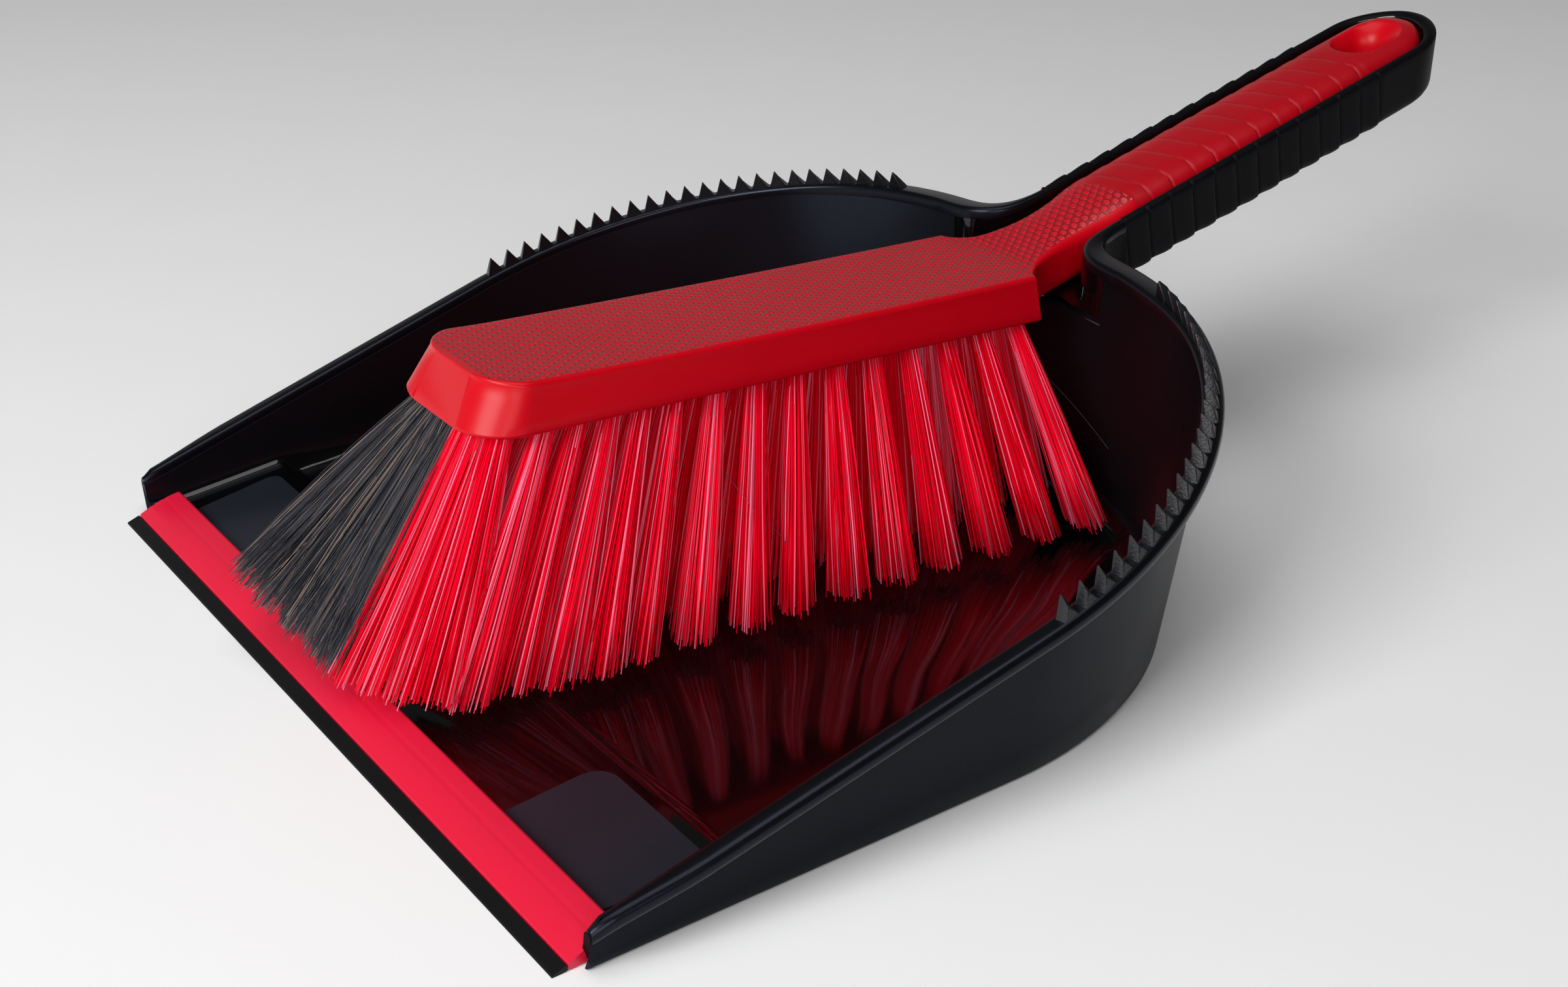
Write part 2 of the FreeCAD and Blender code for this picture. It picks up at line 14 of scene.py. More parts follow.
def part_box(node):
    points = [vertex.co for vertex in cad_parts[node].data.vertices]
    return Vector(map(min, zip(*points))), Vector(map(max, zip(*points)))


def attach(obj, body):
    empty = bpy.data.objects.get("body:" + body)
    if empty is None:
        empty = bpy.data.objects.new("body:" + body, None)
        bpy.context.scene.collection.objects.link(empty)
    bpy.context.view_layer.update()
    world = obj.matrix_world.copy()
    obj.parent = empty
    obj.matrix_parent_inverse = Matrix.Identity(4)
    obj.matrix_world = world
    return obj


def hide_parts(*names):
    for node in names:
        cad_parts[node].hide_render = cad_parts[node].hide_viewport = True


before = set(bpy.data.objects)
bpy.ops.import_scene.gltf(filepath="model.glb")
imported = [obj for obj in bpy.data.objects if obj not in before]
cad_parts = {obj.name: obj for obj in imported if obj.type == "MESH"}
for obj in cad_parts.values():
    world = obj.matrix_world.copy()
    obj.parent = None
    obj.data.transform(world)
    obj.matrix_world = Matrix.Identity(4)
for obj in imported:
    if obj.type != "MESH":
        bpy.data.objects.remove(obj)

LOG = logging.getLogger("dust_pan_set")
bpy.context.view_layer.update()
MM = 0.001
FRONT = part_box("lip_blade")[0].y          # edge of the sealing blade, where lengths start
TAPE_LOW = 0.62                           # height of a wrapped tape's lower edge, of 1
Point = tuple[float, float, float]


class Side(Enum):
    """The two mirror halves of the set."""

    RIGHT = 1
    LEFT = -1


class Body(Enum):
    """Rigid bodies of the frame that pieces ride on."""

    PAN = "pan"
    LIP = "lip"
    BRUSH = "brush"


# --- small tools --------------------------------------------------------------------------

def lerp(a: float, b: float, t: float) -> float:
    """Return the value a share t of the way from a to b."""
    return a + (b - a) * t


def ease(t: float) -> float:
    """Return t clamped to 0..1 and smoothed at both ends."""
    t = min(max(t, 0.0), 1.0)
    return t * t * (3 - 2 * t)


def spread(start: float, stop: float, count: int) -> list[float]:
    """Return count values from start to stop, both included."""
    return [lerp(start, stop, k / (count - 1)) for k in range(count)]


def through(knots: Sequence[tuple[float, float]], at: float) -> float:
    """Interpolate smoothly through (place, value) knots.

    Args:
        knots: Pairs sorted by place.
        at: Place to read.

    Returns:
        The value there, held level beyond the ends.
    """
    if at <= knots[0][0]:
        return knots[0][1]
    if at >= knots[-1][0]:
        return knots[-1][1]
    for k in range(len(knots) - 1):
        (x0, y0), (x1, y1) = knots[k], knots[k + 1]
        if at <= x1:
            before = knots[max(k - 1, 0)]
            after = knots[min(k + 2, len(knots) - 1)]
            m0 = (y1 - before[1]) / max(x1 - before[0], 1e-9)
            m1 = (after[1] - y0) / max(after[0] - x0, 1e-9)
            span = x1 - x0
            t = (at - x0) / span
            return ((2 * t ** 3 - 3 * t ** 2 + 1) * y0 + (t ** 3 - 2 * t ** 2 + t) * span * m0
                    + (-2 * t ** 3 + 3 * t ** 2) * y1 + (t ** 3 - t ** 2) * span * m1)
    return knots[-1][1]


def along_line(knots: Sequence[tuple[float, float]], at: float) -> float:
    """Interpolate straight between (place, value) knots, level beyond the ends."""
    if at <= knots[0][0]:
        return knots[0][1]
    for (x0, y0), (x1, y1) in zip(knots, knots[1:]):
        if at <= x1:
            return lerp(y0, y1, (at - x0) / (x1 - x0))
    return knots[-1][1]


def tape(phase: float) -> float:
    """Height 0..1 of a wrapped tape: each turn rises a little and ends in a narrow groove."""
    share = phase % 1.0
    rise = TAPE_LOW + (1 - TAPE_LOW) * ease(share / 0.7)
    return rise * (1 - ease((share - 0.86) / 0.07)) + TAPE_LOW * ease((share - 0.93) / 0.07)


def linear(hex_colour: str) -> tuple[float, float, float, float]:
    """Turn an sRGB hex colour such as #C8102E into linear RGBA."""
    channels = (int(hex_colour[k:k + 2], 16) / 255 for k in (1, 3, 5))
    rgb = [c / 12.92 if c <= 0.04045 else ((c + 0.055) / 1.055) ** 2.4 for c in channels]
    return rgb[0], rgb[1], rgb[2], 1.0


def make_piece(name: str, points: Iterable[Point], faces: Iterable[Sequence[int]],
               materials: Sequence[bpy.types.Material], body: Body | None,
               marks: Sequence[int] | None = None, sharp: float | None = 35.0,
               weld: bool = True) -> bpy.types.Object:
    """Make a mesh object from millimetre points counted from the blade's edge.

    Args:
        name: Name of the piece.
        points: Vertices in millimetres.
        faces: Vertex indices of each face.
        materials: Material slots.
        body: The body it rides on, or None for the stage.
        marks: Material index of each face, or None for 0 throughout.
        sharp: Angle in degrees above which an edge stays sharp, or None for flat shading.
        weld: Whether coincident vertices are merged.

    Returns:
        The new object, linked to the scene.
    """
    mesh = bpy.data.meshes.new(name)
    mesh.from_pydata([(x * MM, y * MM + FRONT, z * MM) for x, y, z in points], [],
                     [tuple(f) for f in faces])
    for material in materials:
        mesh.materials.append(material)
    if marks is not None:
        mesh.polygons.foreach_set("material_index", list(marks))
    if weld:
        tidy = bmesh.new()
        tidy.from_mesh(mesh)
        bmesh.ops.remove_doubles(tidy, verts=tidy.verts, dist=0.005 * MM)
        bmesh.ops.recalc_face_normals(tidy, faces=tidy.faces)
        tidy.to_mesh(mesh)
        tidy.free()
    mesh.polygons.foreach_set("use_smooth", [sharp is not None] * len(mesh.polygons))
    if sharp is not None:
        mesh.set_sharp_from_angle(angle=math.radians(sharp))
    piece = bpy.data.objects.new(name, mesh)
    bpy.context.scene.collection.objects.link(piece)
    if body is not None:
        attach(piece, body.value)
        LOG.info("%s: %d faces, rides on %s", name, len(mesh.polygons), body.value)
    return piece


def grid_faces(rows: int, columns: int, ring: bool = False,
               base: int = 0) -> list[Sequence[int]]:
    """Quads of a grid of points.

    Args:
        rows: Number of rows.
        columns: Points in each row.
        ring: Whether each row closes on itself.
        base: Index of the grid's first point.

    Returns:
        The quads, row by row.
    """
    last = columns if ring else columns - 1
    return [(base + r * columns + c, base + r * columns + (c + 1) % columns,
             base + (r + 1) * columns + (c + 1) % columns, base + (r + 1) * columns + c)
            for r in range(rows - 1) for c in range(last)]


def end_caps(first: int, count: int, total: int) -> list[Sequence[int]]:
    """Faces that close a run of rings: the ring that starts at first, and the last one."""
    return [[first + v for v in range(count)], [total - 1 - k for k in range(count)]]


# --- materials ----------------------------------------------------------------------------

def add_node(tree: bpy.types.NodeTree, kind: str, settings: dict[str, object] | None = None,
             inputs: dict[str | int, object] | None = None) -> bpy.types.Node:
    """Add a node, set its properties and fill or link its inputs.

    Args:
        tree: Node tree to add to.
        kind: Node type, such as ShaderNodeTexNoise.
        settings: Properties of the node.
        inputs: Values by socket; an output socket is linked instead.

    Returns:
        The new node.
    """
    node = tree.nodes.new(kind)
    for key, value in (settings or {}).items():
        setattr(node, key, value)
    for key, value in (inputs or {}).items():
        if isinstance(value, bpy.types.NodeSocket):
            tree.links.new(value, node.inputs[key])
        else:
            node.inputs[key].default_value = value
    return node


@dataclass(frozen=True)
class Finish:
    """A moulded or extruded plastic: colour, gloss and the unevenness of its surface."""

    name: str
    colour: str
    shade: str
    roughness: float
    ior: float = 1.49
    grain_mm: float = 0.6
    grain_depth: float = 0.02
    wave_mm: float = 0.0
    wave_depth: float = 0.0
    patch_mm: float = 30.0
    rough_swing: float = 0.08
    subsurface: float = 0.0
    tint: str = "#FFFFFF"

    def build(self) -> bpy.types.Material:
        """Make the node material."""
        material = bpy.data.materials.new(self.name)
        material.use_nodes = True
        tree = material.node_tree
        shader = tree.nodes["Principled BSDF"]
        shader.inputs["IOR"].default_value = self.ior
        shader.inputs["Subsurface Weight"].default_value = self.subsurface
        shader.inputs["Subsurface Scale"].default_value = 2.0 * MM
        shader.inputs["Specular Tint"].default_value = linear(self.tint)
        place = add_node(tree, "ShaderNodeTexCoord").outputs["Object"]
        patch = add_node(tree, "ShaderNodeTexNoise", None, {
            "Vector": place, "Scale": 1 / (self.patch_mm * MM), "Detail": 3.0})
        tone = add_node(tree, "ShaderNodeMix", {"data_type": "RGBA"}, {
            0: patch.outputs["Fac"], 6: linear(self.colour), 7: linear(self.shade)})
        tree.links.new(tone.outputs[2], shader.inputs["Base Color"])
        rough = add_node(tree, "ShaderNodeMapRange", None, {
            "Value": patch.outputs["Fac"], "To Min": max(self.roughness - self.rough_swing, 0.02),
            "To Max": self.roughness + self.rough_swing})
        tree.links.new(rough.outputs["Result"], shader.inputs["Roughness"])
        grain = add_node(tree, "ShaderNodeTexNoise", None, {
            "Vector": place, "Scale": 1 / (self.grain_mm * MM), "Detail": 2.0})
        bump = add_node(tree, "ShaderNodeBump", None, {
            "Height": grain.outputs["Fac"], "Distance": self.grain_depth * MM, "Strength": 1.0})
        if self.wave_mm > 0:
            wave = add_node(tree, "ShaderNodeTexNoise", None, {
                "Vector": place, "Scale": 1 / (self.wave_mm * MM), "Detail": 0.0})
            bump = add_node(tree, "ShaderNodeBump", None, {
                "Height": wave.outputs["Fac"], "Distance": self.wave_depth * MM,
                "Strength": 1.0, "Normal": bump.outputs["Normal"]})
        tree.links.new(bump.outputs["Normal"], shader.inputs["Normal"])
        self.emboss(tree, place, tone.outputs[2], bump.outputs["Normal"], shader)
        return material

    def emboss(self, tree: bpy.types.NodeTree, place: bpy.types.NodeSocket,
               tone: bpy.types.NodeSocket, normal: bpy.types.NodeSocket,
               shader: bpy.types.Node) -> None:
        """Add the finish's moulded pattern; plain finishes have none."""


@dataclass(frozen=True)
class DimpledFinish(Finish):
    """Moulded plastic with a staggered field of short raised scales, with painted shade darkening
    the valleys between them.
    """

    pitch_across: float = 2.6
    pitch_along: float = 3.7
    scale_height: float = 0.8
    valley_painted_shade: str = "#980014"

    def emboss(self, tree: bpy.types.NodeTree, place: bpy.types.NodeSocket,
               tone: bpy.types.NodeSocket, normal: bpy.types.NodeSocket,
               shader: bpy.types.Node) -> None:
        """Add the scales: rows along X, every other row shifted by half a pitch.

        Each scale is a round patch that rises towards the handle and ends in a curved lip. Where a
        scale is low or absent, the colour turns to a darker red: painted shade in the valleys.
        """
        split = add_node(tree, "ShaderNodeSeparateXYZ", None, {0: place})

        def maths(operation: str, a: object, b: object = 0.0) -> bpy.types.NodeSocket:
            """One scalar step."""
            return add_node(tree, "ShaderNodeMath", {"operation": operation},
                            {0: a, 1: b}).outputs[0]

        rows = maths("DIVIDE", split.outputs["Y"], self.pitch_along / 2 * MM)
        odd = maths("MULTIPLY", maths("FLOORED_MODULO", maths("FLOOR", rows), 2.0), 0.5)
        columns = maths("ADD", maths("DIVIDE", split.outputs["X"], self.pitch_across * MM), odd)
        u = maths("MULTIPLY", maths("SUBTRACT", maths("FRACT", columns), 0.5), 2.5)
        v = maths("MULTIPLY", maths("SUBTRACT", maths("FRACT", rows), 0.5), 2.1)
        round_off = maths("ADD", maths("MULTIPLY", u, u), maths("MULTIPLY", v, v))
        inside = add_node(tree, "ShaderNodeMapRange", {"interpolation_type": "SMOOTHSTEP"}, {
            "Value": round_off, "From Min": 1.0, "From Max": 0.72}).outputs["Result"]
        height = maths("MULTIPLY", inside, maths("ADD", maths("MULTIPLY", v, 0.5), 0.5))
        scales = add_node(tree, "ShaderNodeBump", None, {
            "Height": height, "Distance": self.scale_height * MM, "Strength": 1.0,
            "Normal": normal})
        tree.links.new(scales.outputs["Normal"], shader.inputs["Normal"])
        # Painted shade: the base colour darkens to the valley red where the scales are low.
        depth = add_node(tree, "ShaderNodeMapRange", None, {
            "Value": height, "From Min": 0.0, "From Max": 0.25}).outputs["Result"]
        shade = add_node(tree, "ShaderNodeMix", {"data_type": "RGBA"}, {
            0: depth, 6: linear(self.valley_painted_shade), 7: tone})
        tree.links.new(shade.outputs[2], shader.inputs["Base Color"])


@dataclass(frozen=True)
class FilamentFinish:
    """Bristle filament: each one its own tone, with a sheen for a bright edge and a weak emission
    that is a painted glow.
    """

    name: str
    tones: tuple[str, str, str]
    roughness: float
    glow: float
    ior: float = 1.3
    painted_glow: float = 0.0
    tint: str = "#FFFFFF"

    def build(self) -> bpy.types.Material:
        """Make the node material."""
        material = bpy.data.materials.new(self.name)
        material.use_nodes = True
        tree = material.node_tree
        shader = tree.nodes["Principled BSDF"]
        shader.inputs["Roughness"].default_value = self.roughness
        shader.inputs["IOR"].default_value = self.ior
        shader.inputs["Specular Tint"].default_value = linear(self.tint)
        shader.inputs["Sheen Weight"].default_value = self.glow
        shader.inputs["Sheen Roughness"].default_value = 0.3
        tone = add_node(tree, "ShaderNodeAttribute", {"attribute_name": "tone"})
        ramp = add_node(tree, "ShaderNodeValToRGB", None, {"Fac": tone.outputs["Fac"]})
        ramp.color_ramp.elements[0].color = linear(self.tones[0])
        ramp.color_ramp.elements[1].color = linear(self.tones[2])
        middle = ramp.color_ramp.elements.new(0.5)
        middle.color = linear(self.tones[1])
        tree.links.new(ramp.outputs["Color"], shader.inputs["Base Color"])
        # Painted glow: the filament emits its own tone, though it is no lamp, for the light it
        # carries inside the bundle.
        tree.links.new(ramp.outputs["Color"], shader.inputs["Emission Color"])
        shader.inputs["Emission Strength"].default_value = self.painted_glow
        return material


class Palette:
    """Every material of the set, made once."""

    def __init__(self) -> None:
        """Build the finishes."""
        # Polypropylene moulded against a polished tool: near-mirror black, slightly uneven,
        # so reflections of the bristles waver.
        self.tray = Finish("polypropylene_polished_black", "#030304", "#050506", 0.06,
                           rough_swing=0.03, wave_mm=26.0, wave_depth=0.35,
                           grain_depth=0.003, ior=1.5).build()
        # Inside of the walls: the same plastic, less polished, so it only blurs what it mirrors.
        self.wall = Finish("polypropylene_soft_gloss_black", "#08090B", "#0B0C0F", 0.26,
                           rough_swing=0.05, wave_mm=30.0, wave_depth=0.2, grain_depth=0.006,
                           ior=1.42, tint="#C8D8FF").build()
        # Slate grey pads in the corners of the ramp, with a fine grain: painted reflections on the
        # glossy ramp, not a surface of their own.
        self.pad = Finish("painted_reflection_grey", "#1D1F26", "#22242C", 0.24,
                          grain_mm=0.3, grain_depth=0.01, ior=1.45, tint="#C8D8FF").build()
        # The same moulding outside, from a vapour-blasted tool: satin, a cool grey bloom.
        self.shell = Finish("polypropylene_satin_black", "#07080C", "#0B0D13", 0.36,
                            grain_mm=0.5, grain_depth=0.02, ior=1.18, tint="#A8C4FF").build()
        # Handle of the pan: closed matt skin that hardly reflects.
        self.grip = Finish("polypropylene_matt_black", "#08080A", "#0C0C10", 0.44,
                           grain_mm=0.5, grain_depth=0.03, ior=1.16).build()
        # Rim: the same plastic, rubbed smooth by handling.
        self.rim = Finish("polypropylene_rubbed_black", "#060607", "#0B0B0E", 0.25,
                          grain_mm=0.7, grain_depth=0.015, ior=1.34, tint="#D4DEFF").build()
        # Comb: scratched tops of the teeth as a deep grain; the colour a little greyer than the
        # rim, a painted sheen of the teeth.
        self.comb = Finish("polypropylene_comb_grey_black", "#0D0E11", "#1A1B20", 0.30,
                           grain_mm=0.5, grain_depth=0.09, ior=1.52).build()
        # Plasticised PVC, extruded: soft satin, pinkish red, slightly translucent.
        self.lip = Finish("pvc_extruded_pink_red", "#E0183C", "#D61436", 0.34,
                          grain_mm=1.5, grain_depth=0.01, subsurface=0.12).build()
        # Soft PVC blade: matt black.
        self.blade = Finish("pvc_soft_black", "#08080A", "#0C0C0E", 0.42, grain_mm=0.4,
                            ior=1.3).build()
        # Polypropylene of the brush, moulded smooth: saturated red.
        self.red = Finish("polypropylene_smooth_red", "#CA0016", "#BE0012", 0.34, ior=1.3,
                          subsurface=0.06, grain_mm=0.9, grain_depth=0.01).build()
        # The handle of the same plastic, dulled by the hand to a little more roughness; its deeper
        # red is painted shade, the handle darker than the block.
        self.worn_and_shaded = Finish("polypropylene_handled_shaded_red", "#B00014", "#A20010", 0.38, ior=1.36,
                           subsurface=0.06, grain_mm=0.9, grain_depth=0.015).build()
        # The same red on top, with the moulded field of scales that keeps the hand from slipping;
        # the valleys between the scales are darkened with painted shade.
        self.dimpled = DimpledFinish("polypropylene_scaled_red", "#C0061E", "#B40418", 0.34,
                                     ior=1.56, subsurface=0.06, grain_mm=0.9,
                                     grain_depth=0.015).build()
        # PET filament drawn red, clear enough to go pink where the light runs along it: the pink
        # tone on a share of the filaments is a painted highlight, and the weak emission is a
        # painted glow for the light it carries.
        self.bristle = FilamentFinish("pet_filament_red", ("#DC0016", "#FF0028", "#FF84A4"),
                                      0.26, 0.0, ior=1.4, painted_glow=0.04, tint="#FF3C68").build()
        # Horsehair mix: black, brown and grey hairs side by side.
        self.hair = FilamentFinish("horsehair_mixed_dark", ("#08090D", "#30333F", "#8C7668"),
                                   0.40, 0.12, 1.45).build()
        # Loose pale hair caught on the pan.
        self.stray = FilamentFinish("stray_hair_pale", ("#B4ACA2", "#C8C0B6", "#DAD4CC"),
                                    0.4, 0.1).build()


# --- pan ----------------------------------------------------------------------------------

@dataclass
class RimStation:
    """One place along the rim: position, outward direction and the band's two widths."""

    x: float
    y: float
    nx: float
    ny: float
    inner: float
    outer: float


@dataclass
class Pan:
    """The black moulding: tray, rim, comb and channel handle. Sizes in millimetres."""

    lip_length: float = (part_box("lip_clip")[1].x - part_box("lip_clip")[0].x) / MM
    length: float = (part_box("pan")[1].y - FRONT) / MM
    wall: float = 2.2
    floor: float = 2.4
    nose_y: float = (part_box("pan")[0].y - FRONT) / MM
    nose_top: float = 11.0
    rim_slope: float = math.tan(math.radians(15.67))
    grip_slope: float = math.tan(math.radians(14.1))
    bend_y: float = 205.0
    flare_y: float = 109.0
    arc: float = 102.0
    draft: float = math.tan(math.radians(9.2))
    fillet: float = 7.0
    fillet_front: float = 3.0
    floor_steps: int = 8
    polished_points: int = 13          # of a section: the floor and most of the fillet
    floor_start: float = 1.3           # behind the nose
    edge_round: float = 1.2            # outer lower edge
    # Outline of the corner pads, which are painted reflections on the ramp.
    pad_inner: float = 63.0
    pad_outer: float = 104.5
    pad_corners: tuple[float, float] = (3.0, 6.0)
    pad_height: float = 0.12
    crest_y: float = 42.0
    crest_z: float = 5.4
    ramp_y: float = 15.4
    tongue: float = 2.8
    tongue_low: float = 1.25
    channel_half: float = 13.5
    channel_depth: float = 14.5
    channel_wall: float = 3.0
    end_growth: float = 1.8
    channel_floor: float = 2.2
    channel_inside: int = 12           # points of a section that lie inside the channel
    channel_fillet: float = 2.5
    channel_crown: float = 1.5
    channel_corner: float = 3.0
    mouth_y: float = 207.2
    mouth_half: float = 25.0
    mouth_drop: float = 0.4
    neck_x: float = 34.0
    neck_y: float = 227.0
    neck_widening: float = 1.6
    neck_bulge: float = 1.2
    neck_pull: tuple[float, float] = (11.0, 15.0)            # lengths of the curve's handles
    flange: tuple[float, float, float] = (0.9, 2.6, 3.2)     # at the nose, side and rear
    flange_rise: float = 25.0
    rim_lap: float = 0.25
    band_pitch: float = 7.8
    band_first: float = 224.0
    band_last: float = 325.0
    band_step: float = 0.4
    band_height: float = 1.0
    band_reach: float = 0.75           # share of the wall over which a band fades out
    band_slant: float = 0.2
    teeth: int = 24
    tooth_height: float = 5.0
    tooth_base: float = 5.3
    tooth_reach: float = 2.9           # from the inner edge outwards, at the root
    tooth_peak: float = 2.2            # the same along its ridge
    tooth_root: float = 0.6
    comb_span: tuple[float, float] = (3.4, 72.6)             # degrees of the rear arc
    hole_half: float = 6.0
    hole_run: float = 6.0
    hole_y: float = 332.9
    stations: list[RimStation] = field(default_factory=list)
    rim_count: int = 0

    @property
    def foot_half(self) -> float:
        """Half width of the tray at the floor."""
        return self.lip_length / 2 + 0.1 + self.wall

    @property
    def channel_outer(self) -> float:
        """Half width of the handle."""
        return self.channel_half + self.channel_wall

    @property
    def end_y(self) -> float:
        """Centre of the round end of the handle."""
        return self.length - self.channel_outer

    def rim_z(self, y: float) -> float:
        """Height of the rim at y."""
        if y <= self.bend_y:
            return self.nose_top + self.rim_slope * (y - self.nose_y)
        bend = self.nose_top + self.rim_slope * (self.bend_y - self.nose_y)
        return bend + self.grip_slope * (y - self.bend_y)

    def floor_z(self, y: float) -> float:
        """Height of the tray floor at y: ramp, crest, step, flat."""
        crest = self.crest_y
        return along_line([(self.ramp_y, self.tongue), (crest - 1, self.crest_z - 0.12),
                           (crest, self.crest_z - 0.02), (crest + 0.6, self.crest_z),
                           (crest + 1.2, self.crest_z - 0.1), (crest + 1.8, self.crest_z - 0.5),
                           (crest + 3.6, self.floor + 0.45), (crest + 4.4, self.floor + 0.12),
                           (crest + 5.4, self.floor)], y)

    def wall_xy(self, s: float, z: float, inset: float) -> tuple[float, float]:
        """Plan position on the right wall.

        Args:
            s: y along the straight side up to flare_y, then flare_y plus a share 0..1 of the arc.
            z: Height.
            inset: Distance inwards from the outer face.

        Returns:
            x and y.
        """
        lean = self.foot_half + self.draft * z
        if s <= self.flare_y:
            return lean - inset, s
        centre = lean - self.arc
        radius = self.arc - inset
        end = math.acos(max(min(-centre / radius, 1.0), -1.0))
        angle = end * (s - self.flare_y)
        return max(centre + radius * math.cos(angle), 0.0), self.flare_y + radius * math.sin(angle)

    def section(self, s: float, top: float) -> tuple[list[Point], int]:
        """Half section of the tray: floor from the middle, up the inside, down the outside.

        Args:
            s: Place along the wall, as for wall_xy.
            top: Height at which the wall ends.

        Returns:
            The points, and how many of them belong to the polished inside.
        """
        y_here = self.wall_xy(s, 10, self.wall + self.fillet)[1]
        floor = self.floor_z(y_here)
        fillet = lerp(self.fillet_front, self.fillet, ease((s - self.crest_y) / 50))
        calm = along_line([(self.ramp_y, self.tongue), (self.crest_y, self.crest_z),
                           (self.crest_y + 24, self.floor)], y_here)
        foot_x, foot_y = self.wall_xy(s, floor, self.wall + fillet)
        front = max(foot_y, self.nose_y + self.floor_start)
        points: list[Point] = [(foot_x * k / self.floor_steps, front, floor)
                               for k in range(self.floor_steps)]
        for angle in spread(0, math.pi / 2, 8):
            z = lerp(floor, calm, ease(angle)) + fillet * (1 - math.cos(angle))
            x, y = self.wall_xy(s, z, self.wall + fillet * (1 - math.sin(angle)))
            points.append((x, max(y, front) if angle < 1.0 else y, z))
        shoulder, crown, edge = top - 1.5, top - 0.8, 0.35
        for z in spread(points[-1][2], shoulder, 5)[1:]:
            points.append((*self.wall_xy(s, z, self.wall), z))
        inside = len(points)
        points.append((*self.wall_xy(s, crown, self.wall / 2), crown))
        for z in spread(shoulder, self.edge_round, 7):
            points.append((*self.wall_xy(s, z, 0.0), z))
        points.append((*self.wall_xy(s, edge, edge), edge))
        points.append((*self.wall_xy(s, 0.0, self.edge_round), 0.0))
        under = 0.0 if s > self.ramp_y else self.tongue_low
        x, y = self.wall_xy(s, under, self.wall)
        points += [(x * k / 4, max(y, front) if under else y, under) for k in (4, 3, 2, 1, 0)]
        return points, inside

    def build_tray(self, palette: Palette) -> bpy.types.Object:
        """Tray walls and floor, both halves in one mesh."""
        ramp = [self.nose_y, 9.0, 12.0, self.ramp_y] + spread(18.0, self.crest_y - 4, 8)
        crest = spread(self.crest_y - 3, self.crest_y + 7, 26)
        straight = spread(self.crest_y + 9, self.flare_y, 12)
        arc = [self.flare_y + share for share in spread(0.0, 1.0, 65)[1:]]
        rows = []
        inside = 0
        for s in ramp + crest + straight + arc:
            x, y = self.wall_xy(s, self.rim_z(min(self.wall_xy(s, 50, 0)[1], self.bend_y)), 0)
            top = self.rim_z(y) - 1.0
            if x < self.mouth_half:
                top = self.rim_z(y) - self.channel_depth - self.mouth_drop
            points, inside = self.section(s, top)
            rows.append(points)
        count = len(rows[0])
        points: list[Point] = []
        faces: list[Sequence[int]] = []
        marks: list[int] = []
        for side in Side:
            base = len(points)
            points += [(side.value * x, y, z) for row in rows for x, y, z in row]
            faces += grid_faces(len(rows), count, base=base)
            marks += [0 if column < self.polished_points else 2 if column < inside - 1 else 1
                      for _ in rows[1:] for column in range(count - 1)]
            faces.append([base + v for v in range(count)])
            marks.append(1)
        return make_piece("pan_tray", points, faces, (palette.tray, palette.shell, palette.wall),
                          Body.PAN, marks)

    def build_reflection_pads(self, palette: Palette) -> bpy.types.Object:
        """Two thin grey slabs on the ramp, one in each front corner, with rounded rear corners:
        painted reflections on the glossy ramp.
        """
        points: list[Point] = []
        faces: list[Sequence[int]] = []
        front, rear = self.ramp_y - 0.4, self.crest_y - 2.4
        outer, inner = self.pad_corners
        for side in Side:
            outline = [(self.pad_outer - outer, front)]
            for x, radius, start in ((self.pad_outer - outer, outer, 0.0),
                                     (self.pad_inner + inner, inner, math.pi / 2)):
                outline += [(x + radius * math.cos(a), rear - radius + radius * math.sin(a))
                            for a in spread(start, start + math.pi / 2, 9)]
            outline.append((self.pad_inner, front))
            base, count = len(points), len(outline)
            for lift in (self.pad_height, -0.2):
                points += [(side.value * x, y, self.floor_z(y) + lift) for x, y in outline]
            faces += grid_faces(2, count, ring=True, base=base)
            faces += end_caps(base, count, len(points))
        return make_piece("pan_corner_painted_reflections", points, faces, (palette.pad,), Body.PAN)

    def plan_rim(self) -> None:
        """Work out the stations of the rim from the right nose round the handle's end."""
        half: list[RimStation] = []
        nose, side, rear = self.flange
        inner = self.wall + self.rim_lap
        for y in spread(self.nose_y + 0.2, self.flare_y, 40):
            x, _ = self.wall_xy(y, self.rim_z(y), 0)
            grown = lerp(nose, side, ease((y - self.nose_y) / self.flange_rise))
            half.append(RimStation(x, y, 1, 0, inner, grown))
        for degrees in range(1, 90):
            angle = math.radians(degrees)
            y = self.flare_y + self.arc * math.sin(angle)
            x = self.foot_half + self.draft * self.rim_z(y) - self.arc + self.arc * math.cos(angle)
            if x < self.neck_x:
                break
            widened = inner + self.neck_widening * ease((degrees - 60) / 20)
            half.append(RimStation(x, y, math.cos(angle), math.sin(angle), widened,
                                   lerp(side, rear, degrees / 80)))
        half += self.neck_stations(half[-1])
        self.rim_count = len(half)
        straight = int((self.end_y - self.neck_y) / self.band_step)
        for y in spread(self.neck_y, self.end_y, straight)[1:]:
            half.append(RimStation(self.channel_outer, y, 1, 0, self.channel_wall, 0.0))
        for angle in spread(0, math.pi / 2, 26)[1:]:
            across, back = math.cos(angle), math.sin(angle)
            grown = self.end_growth * back ** 2
            half.append(RimStation(self.channel_outer * across,
                                   self.end_y + (self.channel_outer + grown) * back,
                                   across, back, self.channel_wall + grown, 0.0))
        self.stations = half

